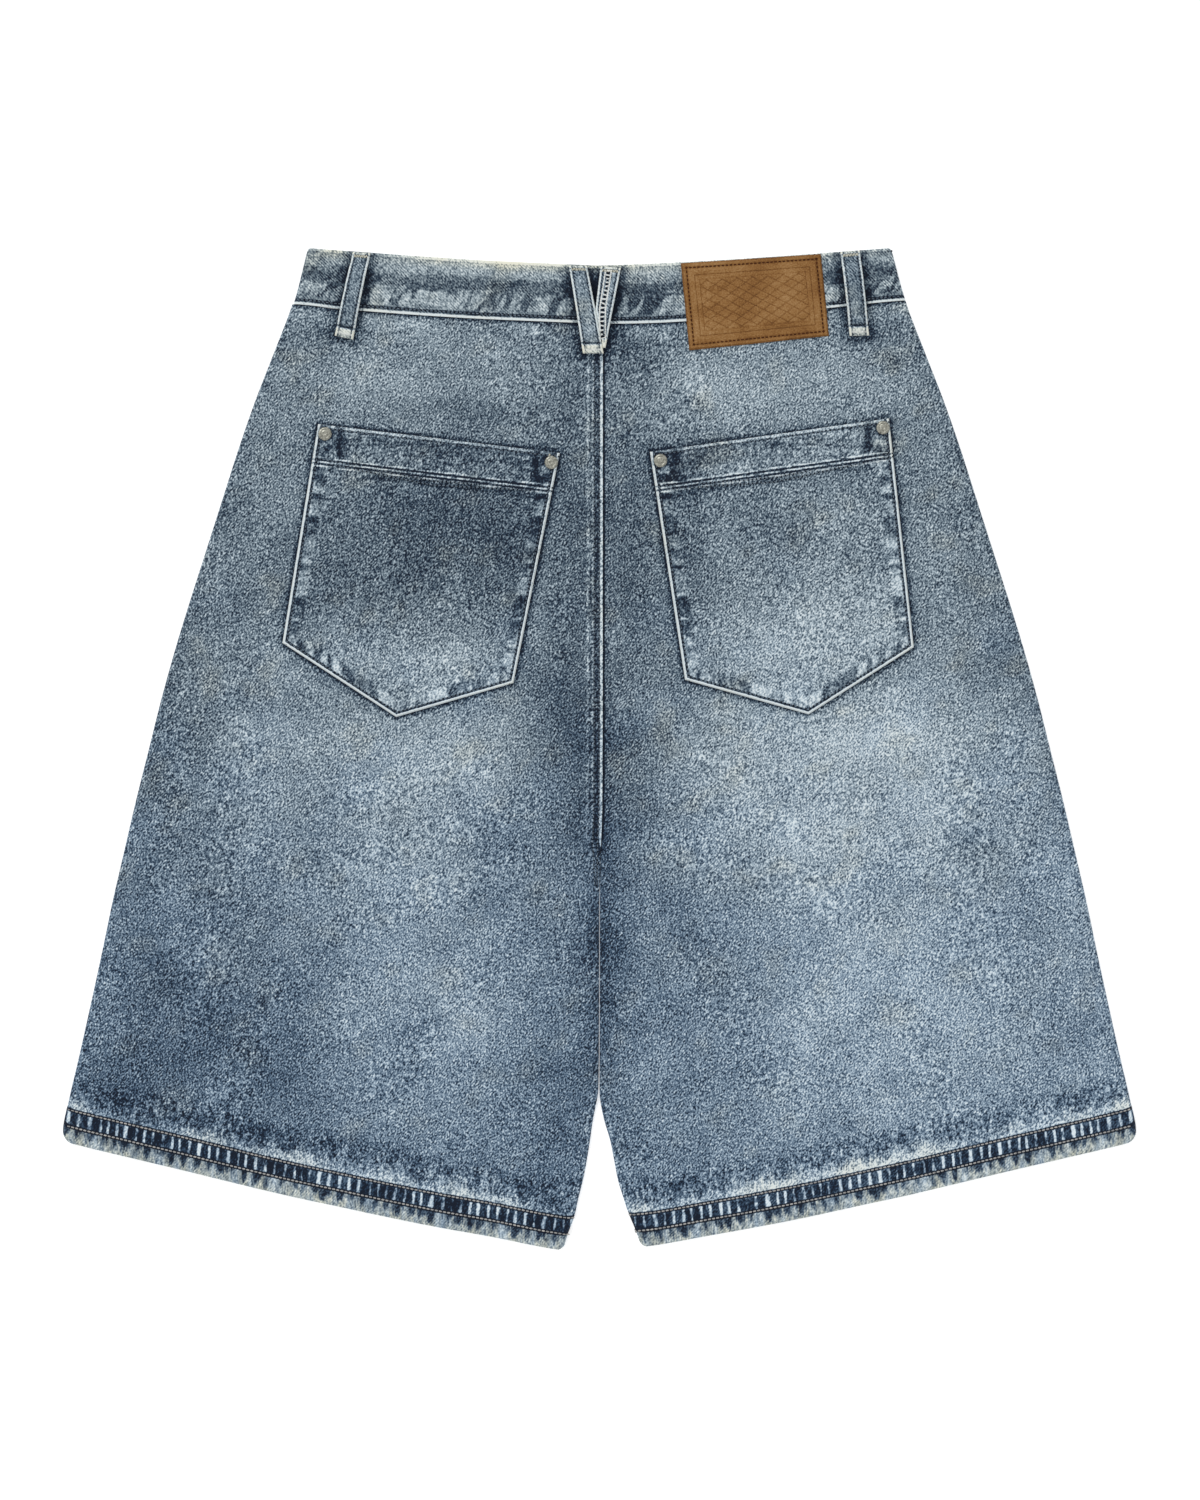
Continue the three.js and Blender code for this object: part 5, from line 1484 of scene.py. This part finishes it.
class SHORTS_OT_sewing(bpy.types.Operator):
    """Sews the seams, hems, pockets, waistband and belt loops"""

    bl_idname = "shorts.sewing"
    bl_label = "Sewing"

    def execute(self, context):
        sizes = context.scene.shorts_sizes
        step, wide = sizes.stitch_step / MM, sizes.thread_wide / MM
        size = (step - 0.45, wide, 0.5)
        row_of_stitches("centre_seam", back_rows(), "dark_thread", step, size)
        for side, leg in (("back", -1), ("back", 1), ("front", -1), ("front", 1)):
            lines = [hem_rows(side, leg, above) for above in HEM_ROWS]
            name = f"hem_{side}_{'left' if leg < 0 else 'right'}"
            if side == "back":
                row_of_stitches(name, lines, "pale_thread", step, (step - 0.1, wide * 1.8, 0.55), hole_shade=0.9)
            else:
                sew(name + "_thread", lines, step, (step - 0.45, wide, 0.3), "pale_thread")
        self.sew_pockets(step, size)
        self.sew_band(step, size)
        self.sew_loops()
        self.sew_fly(step, wide)
        return {"FINISHED"}

    def sew_pockets(self, step, size):
        for side, corners in POCKETS.items():
            lines = []
            inset_u = POCKET_INSET / POCKET["wide"]
            down = np.linspace(0.012, 0.985, 60)
            for u in (inset_u, 1 - inset_u):
                lines.append(self.pocket_line(corners, np.full_like(down, u), down))
            for first, last in ((inset_u, 0.5), (0.5, 1 - inset_u)):
                u = np.linspace(first, last, 40)
                lines.append(self.pocket_line(corners, u, np.full_like(u, 1 - 3.2 / 178)))
            row_of_stitches(f"pocket_{side}_edge", lines, "dark_thread", step, size, hole_shade=1.5)
            across = np.linspace(0.012, 0.988, 60)
            bands = [
                self.pocket_line(corners, across, np.full_like(across, low / POCKET_SIDE))
                for low in POCKET_ROWS
            ]
            row_of_stitches(f"pocket_{side}_band", bands, "dark_thread", step, size, hole_shade=1.4)
            tacks = []
            for u in (0.028, 0.972):
                v = np.array([1.5, 7.5]) / POCKET_SIDE
                tacks.append(self.pocket_line(corners, np.full(2, u + (0.012 if u < 0.5 else -0.012)), v))
            sew(f"pocket_{side}_bartacks", tacks, 0.55, (0.5, 1.7, 0.5), "yellow_thread")

    def pocket_line(self, corners, u, v):
        u = np.asarray(u, float)
        points = [pocket_grid(corners, np.array([a]), np.array([b])) for a, b in zip(u, v, strict=True)]
        x, y = (np.array([p[k].item() for p in points]) for k in (0, 1))
        thick = POCKET["wall"] + 1.0 - 0.3
        return np.stack([x, y, back_face(x, y) + SKIN + thick], -1)

    def sew_band(self, step, size):
        x = np.arange(-217, 218, 3.0)
        lines = []
        for above in (3.4, 38.6):
            share = above / BAND_DEEP
            y = mix(band_low(x), band_top(x), share)
            inside = np.abs(x) < half_width(y) - 2
            drop = roll_drop(half_width(y) - np.abs(x))
            high = mix(band_face(x, y) - 0.3, BAND_HIGH / 2, drop)
            lines.append(np.stack([x, y, high + 0.1], -1)[inside])
        row_of_stitches("waistband_back", lines, "dark_thread", step, size, hole_shade=1.6)
        lines = []
        for start, end in ((-205, -2), (6, 205)):
            x = np.arange(start, end, 3.0)
            for above in (3.2, 37.0):
                y = mix(front_low(x), band_top(x), above / BAND_DEEP) - front_drop(x)
                rise = BAND_LAP["high"] * (1 - smooth(BAND_LAP["slope_from"], BAND_LAP["slope_to"], x))
                lines.append(np.stack([x, y, button_lift(x, y) + (rise if start > 0 else 0) + 0.14], -1))
        sew("waistband_front_thread", lines, step, (step - 0.45, 0.75, 0.3), "dark_thread")

    def sew_loops(self):
        edge_rows, tacks, end_tacks, ladder = [], [], [], []
        for name in LOOPS:
            long = loop_length(name)
            places = steps((long - 1.2, 1.4))[1:]
            left, right = loop_edges(name, places, long)
            wide = np.hypot(right[0] - left[0], right[1] - left[1])
            across = np.linspace(0, 1, 5)[None, :]
            grid_x = mix(left[0][:, None], right[0][:, None], across)
            grid_y = mix(left[1][:, None], right[1][:, None], across)
            down = places[:, None] + 0 * grid_x
            low = loop_low(grid_x, grid_y, down, long).max(axis=1)
            high = low + loop_thick(places, long) - 0.05
            for share in (LOOP_INSET / wide, 1 - LOOP_INSET / wide):
                x, y = mix(left[0], right[0], share), mix(left[1], right[1], share)
                keep = (wide > 6) & (places < long - LOOP["end_fold"])
                edge_rows.append(np.stack([x, y, high - 0.1], -1)[keep])
            if name == "belt_loop_centre_right":
                x, y = mix(left[0], right[0], 0.5), mix(left[1], right[1], 0.5)
                keep = (places > 2) & (wide > 4)
                ladder.append(np.stack([x, y, high], -1)[keep])
            for place, group in ((2.4, tacks), (long - LOOP["end_fold"] * 0.5, end_tacks)):
                k = int(np.argmin(np.abs(places - place)))
                if wide[k] < 6:
                    continue
                t = np.array([1.8 / wide[k], 1 - 1.8 / wide[k]])
                x, y = mix(left[0][k], right[0][k], t), mix(left[1][k], right[1][k], t)
                group.append(np.stack([x, y, np.full(2, high[k] + 0.02)], -1))
        row_of_stitches("belt_loop_rows", edge_rows, "dark_thread", 2.8, (2.3, 0.65, 0.45))
        sew("belt_loop_bartack_shade", tacks, 0.9, (1.0, 3.0, 0.4), "hole_shade")
        sew("belt_loop_bartacks", tacks, 1.0, (0.75, 2.6, 0.8), "yellow_thread", uneven=0.45)
        sew("belt_loop_end_tacks", end_tacks, 0.8, (0.55, 2.2, 0.5), "cream_thread")
        rungs = [line + np.array([-1.2, 0, 0]) for line in ladder]
        rails = [line + np.array([offset, 0, 0]) for line in rungs for offset in (-2.1, 2.1)]
        sew("belt_loop_ladder", rungs, 3.1, (1.2, 4.6, 0.8), "cream_thread", uneven=0.35)
        sew("belt_loop_ladder_rails", rails, 1.3, (1.6, 1.3, 0.7), "cream_thread", uneven=0.3)
        # Dark beads between the rungs: painted shade in the gaps of the ladder stitch.
        sew("belt_loop_ladder_holes", rungs, 3.1, (2.4, 3.2, 0.5), "hole_shade", shift=1.55)

    def sew_fly(self, step, wide):
        """The curved rows of the fly, on the left front, under the garment."""
        t = np.linspace(0, 1, 60)
        lines = []
        for inset in (38.0, 32.0):
            straight = np.stack([np.full(30, -inset), np.linspace(286, 190, 30)], -1)
            bend = t[:40] / t[39] * math.pi / 2
            curve = np.stack([-inset * np.cos(bend), 190 - (inset + 22) * np.sin(bend)], -1)
            xy = np.concatenate([straight, curve[1:-2]])
            lines.append(np.stack([xy[:, 0], xy[:, 1], button_lift(xy[:, 0], xy[:, 1]) + 0.14], -1))
        y = np.arange(286, -70, -3.0)
        for inset in (2.2, 6.0):
            x = np.full_like(y, -inset)
            lines.append(np.stack([x, y, button_lift(x, y) + 0.14], -1))
        sew("fly_thread", lines, step, (step - 0.45, wide, 0.3), "dark_thread")


class SHORTS_PT_panel(bpy.types.Panel):
    """Lists the steps that build the shorts"""

    bl_label = "Shorts"
    bl_idname = "SHORTS_PT_panel"
    bl_space_type = "VIEW_3D"
    bl_region_type = "UI"
    bl_category = "Shorts"

    def draw(self, context):
        layout = self.layout
        for key in ("cloth_step", "stitch_step", "thread_wide"):
            layout.prop(context.scene.shorts_sizes, key)
        layout.prop(context.scene.shorts_colours, "floor")
        for operator in OPERATORS:
            layout.operator(operator.bl_idname)


OPERATORS = (
    SHORTS_OT_stage, SHORTS_OT_finishes, SHORTS_OT_front, SHORTS_OT_back, SHORTS_OT_waistband,
    SHORTS_OT_pockets, SHORTS_OT_belt_loops, SHORTS_OT_patch, SHORTS_OT_metal, SHORTS_OT_sewing,
)
CLASSES = (ShortsSizes, ShortsColours, *OPERATORS, SHORTS_PT_panel)


def register():
    for item in CLASSES:
        bpy.utils.register_class(item)
    bpy.types.Scene.shorts_sizes = PointerProperty(type=ShortsSizes)
    bpy.types.Scene.shorts_colours = PointerProperty(type=ShortsColours)


def unregister():
    del bpy.types.Scene.shorts_colours
    del bpy.types.Scene.shorts_sizes
    for item in reversed(CLASSES):
        bpy.utils.unregister_class(item)


def main():
    register()
    bpy.ops.shorts.stage()
    bpy.ops.shorts.finishes()
    bpy.ops.shorts.front()
    bpy.ops.shorts.back()
    bpy.ops.shorts.waistband()
    bpy.ops.shorts.pockets()
    bpy.ops.shorts.belt_loops()
    bpy.ops.shorts.patch()
    bpy.ops.shorts.metal()
    bpy.ops.shorts.sewing()


if __name__ == "__main__":
    main()
